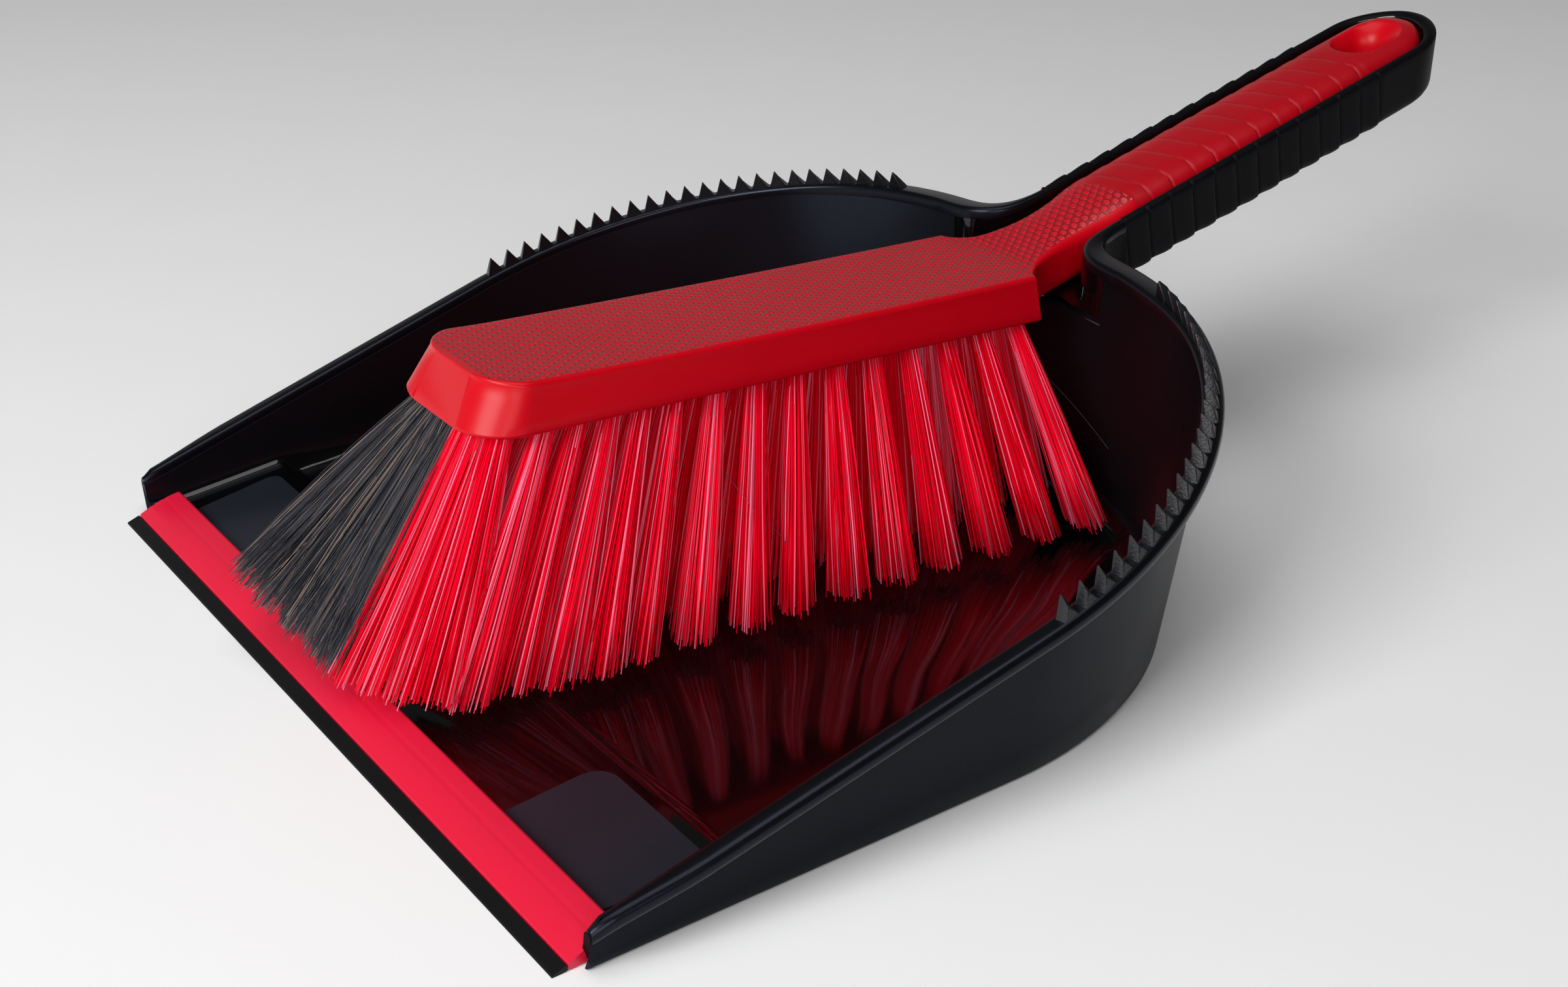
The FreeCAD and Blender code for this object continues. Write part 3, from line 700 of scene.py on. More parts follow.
    def neck_stations(self, last: RimStation) -> list[RimStation]:
        """Stations from the rear arc into the handle's side, along one curve."""
        start = Vector((last.x, last.y))
        along = Vector((-last.ny, last.nx))
        end = Vector((self.channel_outer, self.neck_y))
        first, second = start + along * self.neck_pull[0], end - Vector((0, self.neck_pull[1]))
        result = []
        for t in spread(0, 1, 24)[1:]:
            a, b, c = start.lerp(first, t), first.lerp(second, t), second.lerp(end, t)
            place = a.lerp(b, t).lerp(b.lerp(c, t), t)
            way = (b.lerp(c, t) - a.lerp(b, t)).normalized()
            bulge = self.neck_bulge * math.sin(math.pi * min(t * 1.15, 1.0))
            result.append(RimStation(place.x, place.y, way.y, -way.x,
                                     lerp(last.inner, self.channel_wall, t) + bulge,
                                     lerp(last.outer, 0.15, ease(t))))
        return result

    def band(self, side: Side, x: float, y: float, below: float) -> float:
        """How far the wrapped bands stand out at a point of the handle's outside.

        Args:
            side: Which side of the handle.
            x: Distance from the middle.
            y: Place along the handle.
            below: Depth below the top edge.

        Returns:
            Height of the band in millimetres.
        """
        turn = y - side.value * self.band_slant * (abs(x) + below)
        fade = ease((y - self.band_first) / 6) * ease((self.band_last - y) / 3)
        phase = (turn - self.band_first) / self.band_pitch
        return fade * self.band_height * (tape(phase) - TAPE_LOW)

    def build_rim(self, palette: Palette) -> bpy.types.Object:
        """Rounded band along each side of the rim, from the nose into the handle."""
        points: list[Point] = []
        faces: list[Sequence[int]] = []
        stations = self.stations[:self.rim_count]
        for side in Side:
            base = len(points)
            count = 0
            for index, st in enumerate(stations):
                profile = self.rim_profile(st, index)
                count = len(profile)
                for offset, z in profile:
                    points.append((side.value * (st.x + st.nx * offset), st.y + st.ny * offset, z))
            faces += grid_faces(len(stations), count, ring=True, base=base)
            faces += end_caps(base, count, len(points))
        return make_piece("pan_rim", points, faces, (palette.rim,), Body.PAN, sharp=40)

    def rim_profile(self, st: RimStation, index: int) -> list[tuple[float, float]]:
        """Closed section of the rim band as (distance outwards, height)."""
        reach = min((st.y - self.nose_y) / 2.6, 1.0) if index < 30 else 1.0
        nose = max(math.sqrt(max(1 - (1 - reach) ** 2, 0.0)), 0.25)
        late = ease((index - self.rim_count + 14) / 13)
        top = self.rim_z(st.y) - (1 - nose) * 1.6 - 0.25 * late
        i, o, d = st.inner * lerp(0.75, 1, nose), st.outer * nose, 3.4 * lerp(0.8, 1, nose)
        return [(-i, top - d + 0.3), (-i, top - 1.3), (-i + 0.12, top - 0.75),
                (-i + 0.42, top - 0.3), (-i + 0.95, top - 0.05), (-i + 1.5, top),
                (o - 1.5, top - 0.02),
                (o - 1.0, top - 0.14), (o - 0.55, top - 0.45), (o - 0.2, top - 0.9), (o, top - 1.5),
                (o, top - d + 0.9), (o - 0.15, top - d + 0.4), (o - 0.5, top - d + 0.1),
                (min(0.1, o - 0.6), top - d)]

    def build_comb(self, palette: Palette) -> bpy.types.Object:
        """Two combs of teeth along the rear arcs."""
        points: list[Point] = []
        faces: list[Sequence[int]] = []
        for side in Side:
            for index in range(self.teeth):
                degrees = lerp(*self.comb_span, index / (self.teeth - 1))
                self.add_tooth(points, faces, side, math.radians(degrees))
        comb = make_piece("pan_comb", points, faces, (palette.comb,), Body.PAN, sharp=25)
        bevel = comb.modifiers.new("edge", "BEVEL")
        bevel.width = 0.22 * MM
        bevel.segments = 2
        bevel.angle_limit = math.radians(40)
        return comb

    def add_tooth(self, points: list[Point], faces: list[Sequence[int]], side: Side,
                  angle: float) -> None:
        """Append one tooth: a tent across the rim, highest at its inner end."""
        radius = self.arc - self.wall + 0.9
        y = self.flare_y + radius * math.sin(angle)
        z = self.rim_z(y)
        centre = self.foot_half + self.draft * z - self.arc
        out = Vector((math.cos(angle), math.sin(angle), self.rim_slope * math.sin(angle)))
        up = Vector((0, -self.rim_slope, 1)).normalized()
        along = up.cross(out).normalized()
        foot = Vector((centre + radius * math.cos(angle), y, z))
        half = self.tooth_base / 2
        base = len(points)
        for reach, rise, width in ((0.0, 1.0, 1.0), (0.5, 1.0, 1.0), (self.tooth_reach, 0.5, 0.85)):
            root = foot + out * reach - up * self.tooth_root
            peak = foot + out * min(reach, self.tooth_peak) + up * self.tooth_height * rise
            for corner in (root - along * half * width, root + along * half * width, peak):
                points.append((side.value * corner.x, corner.y, corner.z))
        faces += grid_faces(3, 3, ring=True, base=base)
        faces += end_caps(base, 3, len(points))

    def build_channel(self, palette: Palette) -> bpy.types.Object:
        """Channel handle: floor, sides with wrapped bands outside, and underside."""
        neck = [s for s in self.stations if s.y > self.mouth_y - 1.2 and s.x < self.neck_x - 5]
        points: list[Point] = []
        faces: list[Sequence[int]] = []
        for side in Side:
            base = len(points)
            rows = [self.channel_section(st, side) for st in neck]
            count = len(rows[0])
            points += [(side.value * x, y, z) for row in rows for x, y, z in row]
            faces += grid_faces(len(rows), count, base=base)
            faces.append([base + v for v in range(count)])
        marks = [1 if len(face) > 4 or face[0] % count < self.channel_inside else 0
                 for face in faces]
        channel = make_piece("pan_handle", points, faces, (palette.grip, palette.tray), Body.PAN,
                             marks, sharp=50)
        self.cut_hole(channel)
        return channel

    def channel_section(self, st: RimStation, side: Side) -> list[Point]:
        """Half section of the channel at a rim station, from floor middle to underside middle."""
        on_handle = st.y > self.neck_y
        rim = self.rim_z(st.y)
        top = rim - (0.0 if on_handle else lerp(1.2, 0.25, ease((st.y - 216) / 10)))
        floor = rim - self.channel_depth
        under = floor - self.channel_floor
        middle_y = max(min(st.y, self.end_y), self.mouth_y)
        floor_mid = self.rim_z(middle_y) - self.channel_depth
        wall = st.inner
        radius, crown, corner = self.channel_fillet, self.channel_crown, self.channel_corner

        def at(inset: float, z: float) -> Point:
            """Point at an inset from the outer face."""
            swell = 0.0
            share = 1 - inset / wall / self.band_reach
            if share > 0 and on_handle:
                swell = self.band(side, st.x, st.y, max(rim - z, 0.0)) * share
            x = st.x - st.nx * (inset - swell)
            y = st.y - st.ny * (inset - swell)
            return max(x, 0.0), max(y, self.mouth_y), z

        edge = at(wall + radius, floor)
        start = (0.0, middle_y, floor_mid)
        points: list[Point] = [tuple(lerp(start[a], edge[a], k / 4) for a in range(3))
                               for k in range(4)]
        for angle in spread(0, math.pi / 2, 5):
            points.append(at(wall + radius * (1 - math.sin(angle)),
                             floor + radius * (1 - math.cos(angle))))
        for z in spread(floor + radius, top - crown, 4)[1:]:
            points.append(at(wall, z))
        for angle in spread(0, math.pi, 11)[1:]:
            inset = wall * (0.5 + 0.5 * math.cos(angle))
            lift = self.band(side, st.x, st.y, 0) * (1 - inset / wall) if on_handle else 0.0
            points.append(at(inset, top - crown + (crown + lift) * math.sin(angle)))
        for z in spread(top - crown, under + corner, 9)[1:]:
            points.append(at(0.0, z))
        for angle in spread(0, math.pi / 2, 6)[1:]:
            bulge = self.band(side, st.x, st.y, rim - under) if on_handle else 0.0
            x, y, z = at(corner * (1 - math.cos(angle)), under + corner * (1 - math.sin(angle)))
            points.append((x + st.nx * bulge * 0.5, y, z - bulge * math.sin(angle)))
        last = points[-1]
        for t in (0.25, 0.5, 0.75, 1.0):
            points.append((lerp(last[0], 0.0, t), lerp(last[1], middle_y, t),
                           lerp(last[2], floor_mid - self.channel_floor, t)))
        return points

    def cut_hole(self, channel: bpy.types.Object) -> None:
        """Cut the hanging hole through the channel's floor."""
        rim = self.rim_z(self.hole_y)
        cutter = slot_prism("hole_cutter", self.hole_half, self.hole_run, self.hole_y, 0.0,
                            [(rim - 24, 0.0, 0.0), (rim - 8, 0.0, 0.0)])
        apply_cut(channel, cutter)


def slot_prism(name: str, half: float, run: float, y: float, slope: float,
               levels: Sequence[tuple[float, float, float]]) -> bpy.types.Object:
    """Upright prism with round ends, wider where a level says so.

    Args:
        name: Name of the object.
        half: Half width.
        run: Straight length.
        y: Middle.
        slope: Rise of each ring per millimetre along Y.
        levels: Height, growth and shift along Y of each ring, in millimetres.

    Returns:
        The closed mesh object.
    """
    points: list[Point] = []
    sides = 64
    for z, grow, shift in levels:
        for k in range(sides):
            angle = 2 * math.pi * (k + 0.5) / sides
            ahead = math.copysign(run / 2, math.sin(angle)) + (half + grow) * math.sin(angle)
            points.append(((half + grow) * math.cos(angle), y + shift + ahead,
                           z + slope * (shift + ahead)))
    faces = grid_faces(len(levels), sides, ring=True) + end_caps(0, sides, len(points))
    return make_piece(name, points, faces, (), None)


def apply_cut(target: bpy.types.Object, cutter: bpy.types.Object) -> None:
    """Subtract cutter from target for good, and remove the cutter."""
    cut = target.modifiers.new("cut", "BOOLEAN")
    cut.operation = "DIFFERENCE"
    cut.object = cutter
    cut.solver = "EXACT"
    graph = bpy.context.evaluated_depsgraph_get()
    mesh = bpy.data.meshes.new_from_object(target.evaluated_get(graph))
    target.modifiers.remove(cut)
    old = target.data
    target.data = mesh
    mesh.name = old.name
    bpy.data.meshes.remove(old)
    bpy.data.objects.remove(cutter)


# --- lip ----------------------------------------------------------------------------------

@dataclass
class Lip:
    """Red extruded profile on the tray's front edge, and its black blade. Millimetres."""

    front: float = 3.5
    rear: float = 15.0
    nose: float = 1.6
    high: float = 5.2
    low: float = 0.3
    slot_root: float = 7.4
    slot_low: float = 1.1
    slot_high: float = 2.9
    crown: float = 0.55
    line_y: float = 10.1
    line_half: float = 0.3
    line_depth: float = 0.12
    half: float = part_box("lip_clip")[1].x / MM

    def top(self, y: float) -> float:
        """Height of the crowned top at y."""
        t = (y - self.front) / (self.rear - 0.7 - self.front)
        return lerp(self.nose, self.high - 0.1, t) + self.crown * math.sin(math.pi * t)

    def build_profile(self, palette: Palette) -> bpy.types.Object:
        """Extrude the red profile from wall to wall, with a fine line along its top."""
        front, rear, low = self.front, self.rear, self.low
        profile = [(front, low + 0.3), (front + 0.3, low), (rear - 0.2, low), (rear, low + 0.2),
                   (rear, self.slot_low), (self.slot_root, self.slot_low),
                   (self.slot_root, self.slot_high), (rear, self.slot_high),
                   (rear, self.high - 0.9), (rear - 0.2, self.high - 0.35)]
        for y in spread(rear - 0.7, front + 0.25, 22):
            groove = self.line_depth if abs(y - self.line_y) < self.line_half else 0.0
            profile.append((y, self.top(y) - groove))
        profile += [(self.front + 0.05, self.nose - 0.2)]
        return self.extrude("lip_profile", profile, palette.lip, Body.PAN, 30)

    def extrude(self, name: str, profile: Sequence[tuple[float, float]],
                material: bpy.types.Material, body: Body, sharp: float) -> bpy.types.Object:
        """Sweep a closed (y, z) profile across the pan."""
        stops = spread(-self.half, self.half, 61)
        points = [(x, y, z) for x in stops for y, z in profile]
        count = len(profile)
        faces = grid_faces(len(stops), count, ring=True) + end_caps(0, count, len(points))
        return make_piece(name, points, faces, (material,), body, sharp=sharp)

    def build_blade(self, palette: Palette) -> bpy.types.Object:
        """Thin blade, bending where it is bonded to the red profile."""
        profile = [(0.0, 0.05), (0.9, 0.03), (1.9, 0.08), (2.9, 0.15), (3.4, 0.35), (3.45, 0.8),
                   (3.4, 1.3), (3.1, 1.5), (2.2, 1.15), (1.2, 0.8), (0.4, 0.5), (0.05, 0.3)]
        return self.extrude("lip_blade_soft", profile, palette.blade, Body.LIP, 50)


# --- brush --------------------------------------------------------------------------------

@dataclass
class BrushBody:
    """Red moulding of block, neck and handle. Sizes in millimetres."""

    pan: Pan
    front: float = (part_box("brush_block")[0].y - FRONT) / MM
    end: float = (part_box("brush_block")[1].y - FRONT) / MM
    half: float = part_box("brush_block")[1].x / MM
    rear: float = 195.0
    lean: float = 2.4
    depth: float = 11.2
    corner: float = 11.5
    round_top: float = 1.3
    round_low: float = 0.9
    front_lean: float = 5.4
    top: float = 69.08
    tilt: float = math.tan(math.radians(3.1))
    sag: float = 0.55
    grip_half: float = 12.9
    grip_depth: float = 14.0           # below the pan's rim
    grip_start: float = 234.0
    dome: float = 1.7
    waist: float = 0.42                # height share at which the handle is widest
    squareness: float = 0.62           # of the handle's section: 1 is an ellipse
    band_depth: float = 0.38
    band_bow: float = 0.006            # each band curves by this share of x squared
    top_column: int = 16               # first column of a section that lies on the top
    hole_half: float = 5.6
    hole_run: float = 5.4
    hole_flare: float = 3.9
    hole_deep: float = 6.5
    hole_shift: float = 3.2

    @property
    def middle(self) -> float:
        """Middle of the block along the brush."""
        return (self.front + self.rear) / 2

    def top_z(self, y: float) -> float:
        """Height of the top at y, on the centre line."""
        rear = self.rear
        if y <= rear - 3:
            share = (min(y, rear) - self.middle) / (rear - self.middle)
            return self.slab_z(min(y, rear)) - self.sag * (1 - share ** 2)
        grip = self.pan.rim_z
        return through([(rear - 10, self.slab_z(rear - 10) - 0.15),
                        (rear - 3, self.slab_z(rear - 3) - 0.05), (rear + 4, 64.9),
                        (rear + 11, 66.4), (214.0, 68.8), (224.0, 72.2),
                        (self.grip_start, grip(self.grip_start) + self.dome),
                        (self.end, grip(self.end) + self.dome)], y)

    def slab_z(self, y: float) -> float:
        """Height of the block's tilted top plane at y."""
        return self.top - self.tilt * (y - self.middle)

    def low_z(self, y: float) -> float:
        """Height of the underside at y."""
        if y <= self.rear - 1:
            return self.slab_z(y) - self.depth
        rim = self.pan.rim_z
        block = self.slab_z(self.rear) - self.depth
        return through([(self.rear - 1, block), (self.rear + 3, block + 0.4), (205.0, 54.6),
                        (214.0, 55.3), (224.0, 57.6),
                        (self.grip_start, rim(self.grip_start) - self.grip_depth),
                        (self.end, rim(self.end) - self.grip_depth)], y)

    def widths(self, y: float) -> tuple[float, float]:
        """Half widths at y: at the top and at the underside."""
        if y < self.front + self.corner:
            inset = self.front + self.corner - y
            drop = self.corner - math.sqrt(max(self.corner ** 2 - inset ** 2, 0))
            return self.half - self.lean - drop, self.half - drop
        if y < self.rear - 0.6:
            return self.half - self.lean, self.half
        knots = [(self.rear - 0.6, self.half - self.lean), (self.rear + 0.3, self.half - 4.2),
                 (self.rear + 2.0, 15.6), (self.rear + 6.0, 12.6), (206.5, 11.0), (214.0, 10.4),
                 (222.0, 11.2), (229.0, 12.4), (self.grip_start, self.grip_half)]
        low = [(self.rear - 0.6, self.half), (self.rear + 0.3, self.half - 2.6)] + knots[2:]
        if y < self.grip_start:
            return through(knots, y), through(low, y)
        centre = self.end - self.grip_half
        width = self.grip_half
        if y > centre:
            width = math.sqrt(max(self.grip_half ** 2 - (y - centre) ** 2, 0.0))
        return width, width

    def section(self, y: float) -> list[tuple[float, float, float]]:
        """Closed section at y as (x, height share 0..1, z)."""
        wide_top, wide_low = self.widths(y)
        top, low = self.top_z(y), self.low_z(y)
        grip = ease((y - self.rear - 4) / 28)
        round_top = min(self.round_top, wide_top * 0.95)
        round_low = min(self.round_low, wide_low * 0.95)
        if y > self.end - self.grip_half:
            edge = (y - (self.end - self.grip_half)) / self.grip_half
            soft = 1 - math.sqrt(max(1 - edge ** 5, 0.0))
            top -= 4.0 * soft
            low += 3.0 * soft
        ring: list[tuple[float, float, float]] = []
        for angle in spread(-math.pi / 2, 0, 6):
            ring.append((wide_low - round_low + round_low * math.cos(angle), 0.0,
                         low + round_low + round_low * math.sin(angle)))
        for share in spread(0, 1, 5)[1:-1]:
            ring.append((lerp(wide_low, wide_top, share), share,
                         lerp(low + round_low, top - round_top, share)))
        for angle in spread(0, math.pi / 2, 8):
            ring.append((wide_top - round_top + round_top * math.cos(angle), 1.0,
                         top - round_top + round_top * math.sin(angle)))
        for share in spread(1, 0, 9)[1:]:
            ring.append(((wide_top - round_top) * share, 1.0, top))
        if grip > 0:
            centre, tall = low + self.waist * (top - low), top - low
            turns = spread(-math.pi / 2, 0, 8) + spread(0, math.pi / 2, len(ring) - 7)[1:]
            for k, turn in enumerate(turns):
                x, share, z = ring[k]
                reach = (1 - self.waist) * tall if turn > 0 else self.waist * tall
                rise = reach * abs(math.sin(turn)) ** self.squareness
                oval_x = wide_top * abs(math.cos(turn)) ** self.squareness
                oval_z = centre + math.copysign(rise, turn)
                ring[k] = (lerp(x, oval_x, grip), lerp(share, 1.0 if turn > 0.35 else 0.0, grip),
                           lerp(z, oval_z, grip))
        left = [(-x, share, z) for x, share, z in reversed(ring[:-1])]
        return ring + left

    def wrap(self, x: float, y: float) -> float:
        """Depth of the surface below the wrapped bands of the handle at a point."""
        start, stop = self.grip_start - 1.0, self.end - 29.0
        turn = y - self.pan.band_slant * x + self.band_bow * x * x
        fade = ease((turn - start) / 2) * ease((stop - turn) / 2)
        phase = (turn - self.pan.band_first) / self.pan.band_pitch
        return fade * self.band_depth * (1 - tape(phase))

    def build(self, palette: Palette) -> bpy.types.Object:
        """Build the whole moulding, scaled field on top, hanging hole in its end."""
        nose = [self.front + self.corner * (1 - math.cos(a)) for a in spread(0.0, math.pi / 2, 16)]
        block = spread(self.front + self.corner + 2, self.rear - 3, 60)
        step = [self.rear + ahead for ahead in (-1.2, -0.6, -0.15, 0.3, 1.0)]
        neck = spread(self.rear + 2, self.grip_start, 34)
        centre = self.end - self.grip_half
        grip = spread(self.grip_start + 0.4, centre, int((centre - self.grip_start) / 0.4))
        cap = [centre + self.grip_half * math.sin(a) for a in spread(0.06, math.pi / 2 - 0.03, 18)]
        points: list[Point] = []
        stations = nose + block + step + neck + grip + cap
        count = 0
        for index, y in enumerate(stations):
            ring = self.section(y)
            count = len(ring)
            lean = self.front_lean * (1 - ease((y - self.front) / (2.2 * self.corner)))
            for x, share, z in ring:
                cut = self.wrap(x, y)
                points.append((x * (1 - cut / self.grip_half), y + lean * share, z - cut * share))
        faces = grid_faces(len(stations), count, ring=True)
        marks: list[int] = []
        scaled_from, scaled_to = self.front + 1.2, self.grip_start - 2.0
        for face in faces:
            column = face[0] % count
            y = stations[face[0] // count]
            on_top = self.top_column <= column < count - self.top_column
            # Grip faces take the deeper red that paints the handle's shade.
            on_grip = y - self.pan.band_slant * points[face[0]][0] > scaled_to + 1.0
            marks.append(2 if on_grip else 1 if on_top and y > scaled_from else 0)
        faces += end_caps(0, count, len(points))
        marks += [0, 0]
        body = make_piece("brush_moulding", points, faces,
                          (palette.red, palette.dimpled, palette.worn_and_shaded), Body.BRUSH, marks, sharp=32)
        self.cut_hole(body)
        return body

    def cut_hole(self, body: bpy.types.Object) -> None:
        """Cut the hanging hole, flared at both mouths."""
        y = self.pan.hole_y
        top, low = self.top_z(y), self.low_z(y)
        levels = [(low - 3, 1.6, 0.0), (low + 1.0, 0.4, 0.0), (low + 3.0, 0.0, 0.0)]
        for angle in spread(0, math.pi / 2, 8):
            opened = 1 - math.cos(angle)
            levels.append((top - self.hole_deep * (1 - math.sin(angle)) - 0.1,
                           self.hole_flare * opened, self.hole_shift * opened))
        levels.append((top + 4, self.hole_flare + 0.6, self.hole_shift))
        cutter = slot_prism("brush_hole_cutter", self.hole_half, self.hole_run,
                            y - self.hole_shift / 2, self.pan.grip_slope, levels)
        apply_cut(body, cutter)


@dataclass
class Tufts:
    """Rows of tufts, each a bundle of straight filaments that opens towards its tips."""

    brush: BrushBody
    columns: int = 5
    visible_rows: int = 15
    filaments: int = 135
    filament: float = 0.17
    root_radius: float = 2.3
    root_first: float = 48.0
    root_last: float = 189.0
    root_change: float = 89.0
    tip_first: float = 16.0
    tip_last: float = 193.0
    hair_share: float = 0.12
    margin: float = 3.2                # between the outer tufts and the block's side
    hair_room: float = 3.0
    stagger: tuple[float, float] = (4.2, 1.6)                # of every other column, front and rear
    root_bow: float = 3.0
    tip_bow: tuple[float, float] = (-6.0, 12.0)              # front row: middle, growth outwards
    tip_margin: float = 3.8
    hair_tip: tuple[float, float, float, float] = (31.0, 10.0, 4.0, 9.0)    # x, y, slant, rise
    seed: int = 7

    def build(self, palette: Palette) -> None:
        """Build one piece per row and let it stand for the row's solid."""
        nodes = sorted(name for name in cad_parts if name.startswith("tuft_row_"))
        share: dict[str, list[float]] = {name: [] for name in nodes}
        for index in range(self.visible_rows):
            root = along_line([(0, self.root_first), (5, self.root_change),
                               (self.visible_rows - 1, self.root_last)], index)
            along = (root - self.root_first) / (self.root_last - self.root_first)
            share[nodes[round(along * (len(nodes) - 1))]].append(along)
        for name, rows in share.items():
            self.build_row(name, rows, palette.bristle, "bristle_red")
        self.build_row("hair_row", share[nodes[0]], palette.hair, "hair_dark")

    def places(self, hair: bool, front: bool) -> list[float]:
        """Places of a row's tufts, as shares -1..1 of the half width."""
        if hair:
            return spread(-1.0, self.hair_share - 0.06, self.columns)
        if front:
            return spread(self.hair_share + 0.16, 1.0, self.columns - 1)
        return spread(-1.0, 1.0, self.columns)

    def build_row(self, node: str, rows: Sequence[float], material: bpy.types.Material,
                  slot: str) -> None:
        """Rows of tufts that belong to one solid, every other column shifted by half a tuft.

        Args:
            node: The solid this row stands for.
            rows: Shares 0..1 from the front row to the last.
            material: Filament material.
            slot: Material slot of the frame.
        """
        low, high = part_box(node)
        dice = random.Random(f"{self.seed} {node}")
        hair = slot == "hair_dark"
        tip_half = max(high.x, -low.x) / MM
        tip_z = low.z / MM
        bunch = _Bunch(self, dice, tip_half, hair)
        for along in rows:
            root_y = lerp(self.root_first, self.root_last, along)
            tip_y = lerp(self.tip_first, self.tip_last, along)
            front = along < 0.01
            room = self.hair_room if front and not hair else 0.0
            root_half = self.brush.half - self.margin - self.root_radius - room
            for column, across in enumerate(self.places(hair, front)):
                shift = lerp(*self.stagger, ease((along - 0.2) / 0.15)) * (column % 2)
                ahead = -self.root_bow * (1 - across * across) if front else shift
                root = Vector((across * root_half, root_y + ahead, self.brush.low_z(root_y) + 1.0))
                tip = Vector((across * (tip_half - self.tip_margin), tip_y + ahead * 0.8, tip_z))
                if hair:
                    x, y, slant, rise = self.hair_tip
                    tip = Vector((across * x, y + slant * across,
                                  tip_z + rise * abs(across) ** 1.5))
                elif front:
                    tip.y = tip_y + self.tip_bow[0] + self.tip_bow[1] * across * across
                bunch.add_tuft(root, tip)
        piece = make_piece(f"bristles_{node}", bunch.points, bunch.faces, (material,), Body.BRUSH,
                           sharp=180, weld=False)
        layer = piece.data.attributes.new("tone", "FLOAT", "POINT")
        layer.data.foreach_set("value", bunch.tones)
        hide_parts(node)


@dataclass(frozen=True)
class FilamentHabit:
    """How the filaments of one kind stand in a tuft."""

    count: float                       # times the plain number per tuft
    thickness: float                   # times the plain radius
    looseness: float                   # of the bow of a filament, mm
    wide: float                        # half width of the tips
    deep: tuple[float, float]          # half depth of the tips, front and rear
    ragged: float                      # how far tips may fall short
    # Share of pale filaments: grey hairs in the hair mix, pink painted highlights in the red.
    pale_and_highlit_share: float


# The red's pale share takes the pink tone, a painted highlight.
RED = FilamentHabit(1.0, 1.0, 0.3, 5.2, (6.4, 5.0), 0.0, 0.19)
HAIR = FilamentHabit(3.4, 0.54, 1.1, 7.5, (6.0, 6.0), 5.0, 0.14)


class _Bunch:
    """Growing mesh of filaments."""

    shade = (0.36, 0.15)               # tone of a filament, mean and spread
    # On red filaments this lift gives the pink painted highlight; on hair, the grey hairs.
    pale = 0.55                        # added to the tone of a pale one
    steps = 4

    def __init__(self, tufts: Tufts, dice: random.Random, tip_half: float, hair: bool) -> None:
        """Start an empty mesh for one row."""
        self.tufts, self.dice, self.tip_half = tufts, dice, tip_half
        self.habit = HAIR if hair else RED
        self.points: list[Point] = []
        self.faces: list[Sequence[int]] = []
        self.tones: list[float] = []

    def add_tuft(self, root: Vector, tip: Vector) -> None:
        """Append one tuft of filaments between a root and the middle of its tips."""
        dice, habit = self.dice, self.habit
        mood = dice.gauss(0, 0.1)
        tip = tip + Vector((dice.gauss(0, 0.5), dice.gauss(0, 0.5), 0))
        deep = lerp(*habit.deep, ease((root.y - 70) / 30))
        for _ in range(int(self.tufts.filaments * habit.count)):
            angle = dice.uniform(0, 2 * math.pi)
            radius = math.sqrt(dice.random())
            ring = Vector((math.cos(angle), math.sin(angle), 0)) * radius
            stop = tip + Vector((ring.x * habit.wide + dice.gauss(0, 0.5),
                                 ring.y * deep + dice.gauss(0, 0.5), dice.gauss(0.4, 0.5)))
            if habit.ragged:
                stop.z += dice.random() ** 3 * habit.ragged
            stop.x = max(min(stop.x, self.tip_half + 2.0), -self.tip_half - 4.0)
            stop.z = max(stop.z, tip.z - 0.9)
            light = self.pale if dice.random() < habit.pale_and_highlit_share else 0
            tone = min(max(dice.gauss(*self.shade) + mood + light, 0), 1)
            self.add_filament(root + ring * self.tufts.root_radius, stop, tone)

    def add_filament(self, start: Vector, stop: Vector, tone: float) -> None:
        """Append one filament as a thin three-sided rod with a slight bow."""
        dice = self.dice
        thick = self.tufts.filament * self.habit.thickness
        loose = self.habit.looseness
        bow = Vector((dice.gauss(0, loose), dice.gauss(0, loose), 0))
        base, steps = len(self.points), self.steps
        along = (stop - start).normalized()
        side = along.cross(Vector((0, 1, 0))).normalized()
        other = along.cross(side)
        for k in range(steps + 1):
            centre = start.lerp(stop, k / steps) + bow * math.sin(math.pi * k / steps)
            for corner in range(3):
                turn = 2 * math.pi * corner / 3
                place = centre + (side * math.cos(turn) + other * math.sin(turn)) * thick
                self.points.append((place.x, place.y, place.z))
                self.tones.append(tone)
        self.faces += grid_faces(steps + 1, 3, ring=True, base=base)
        self.faces.append((base + 3 * steps, base + 3 * steps + 1, base + 3 * steps + 2))


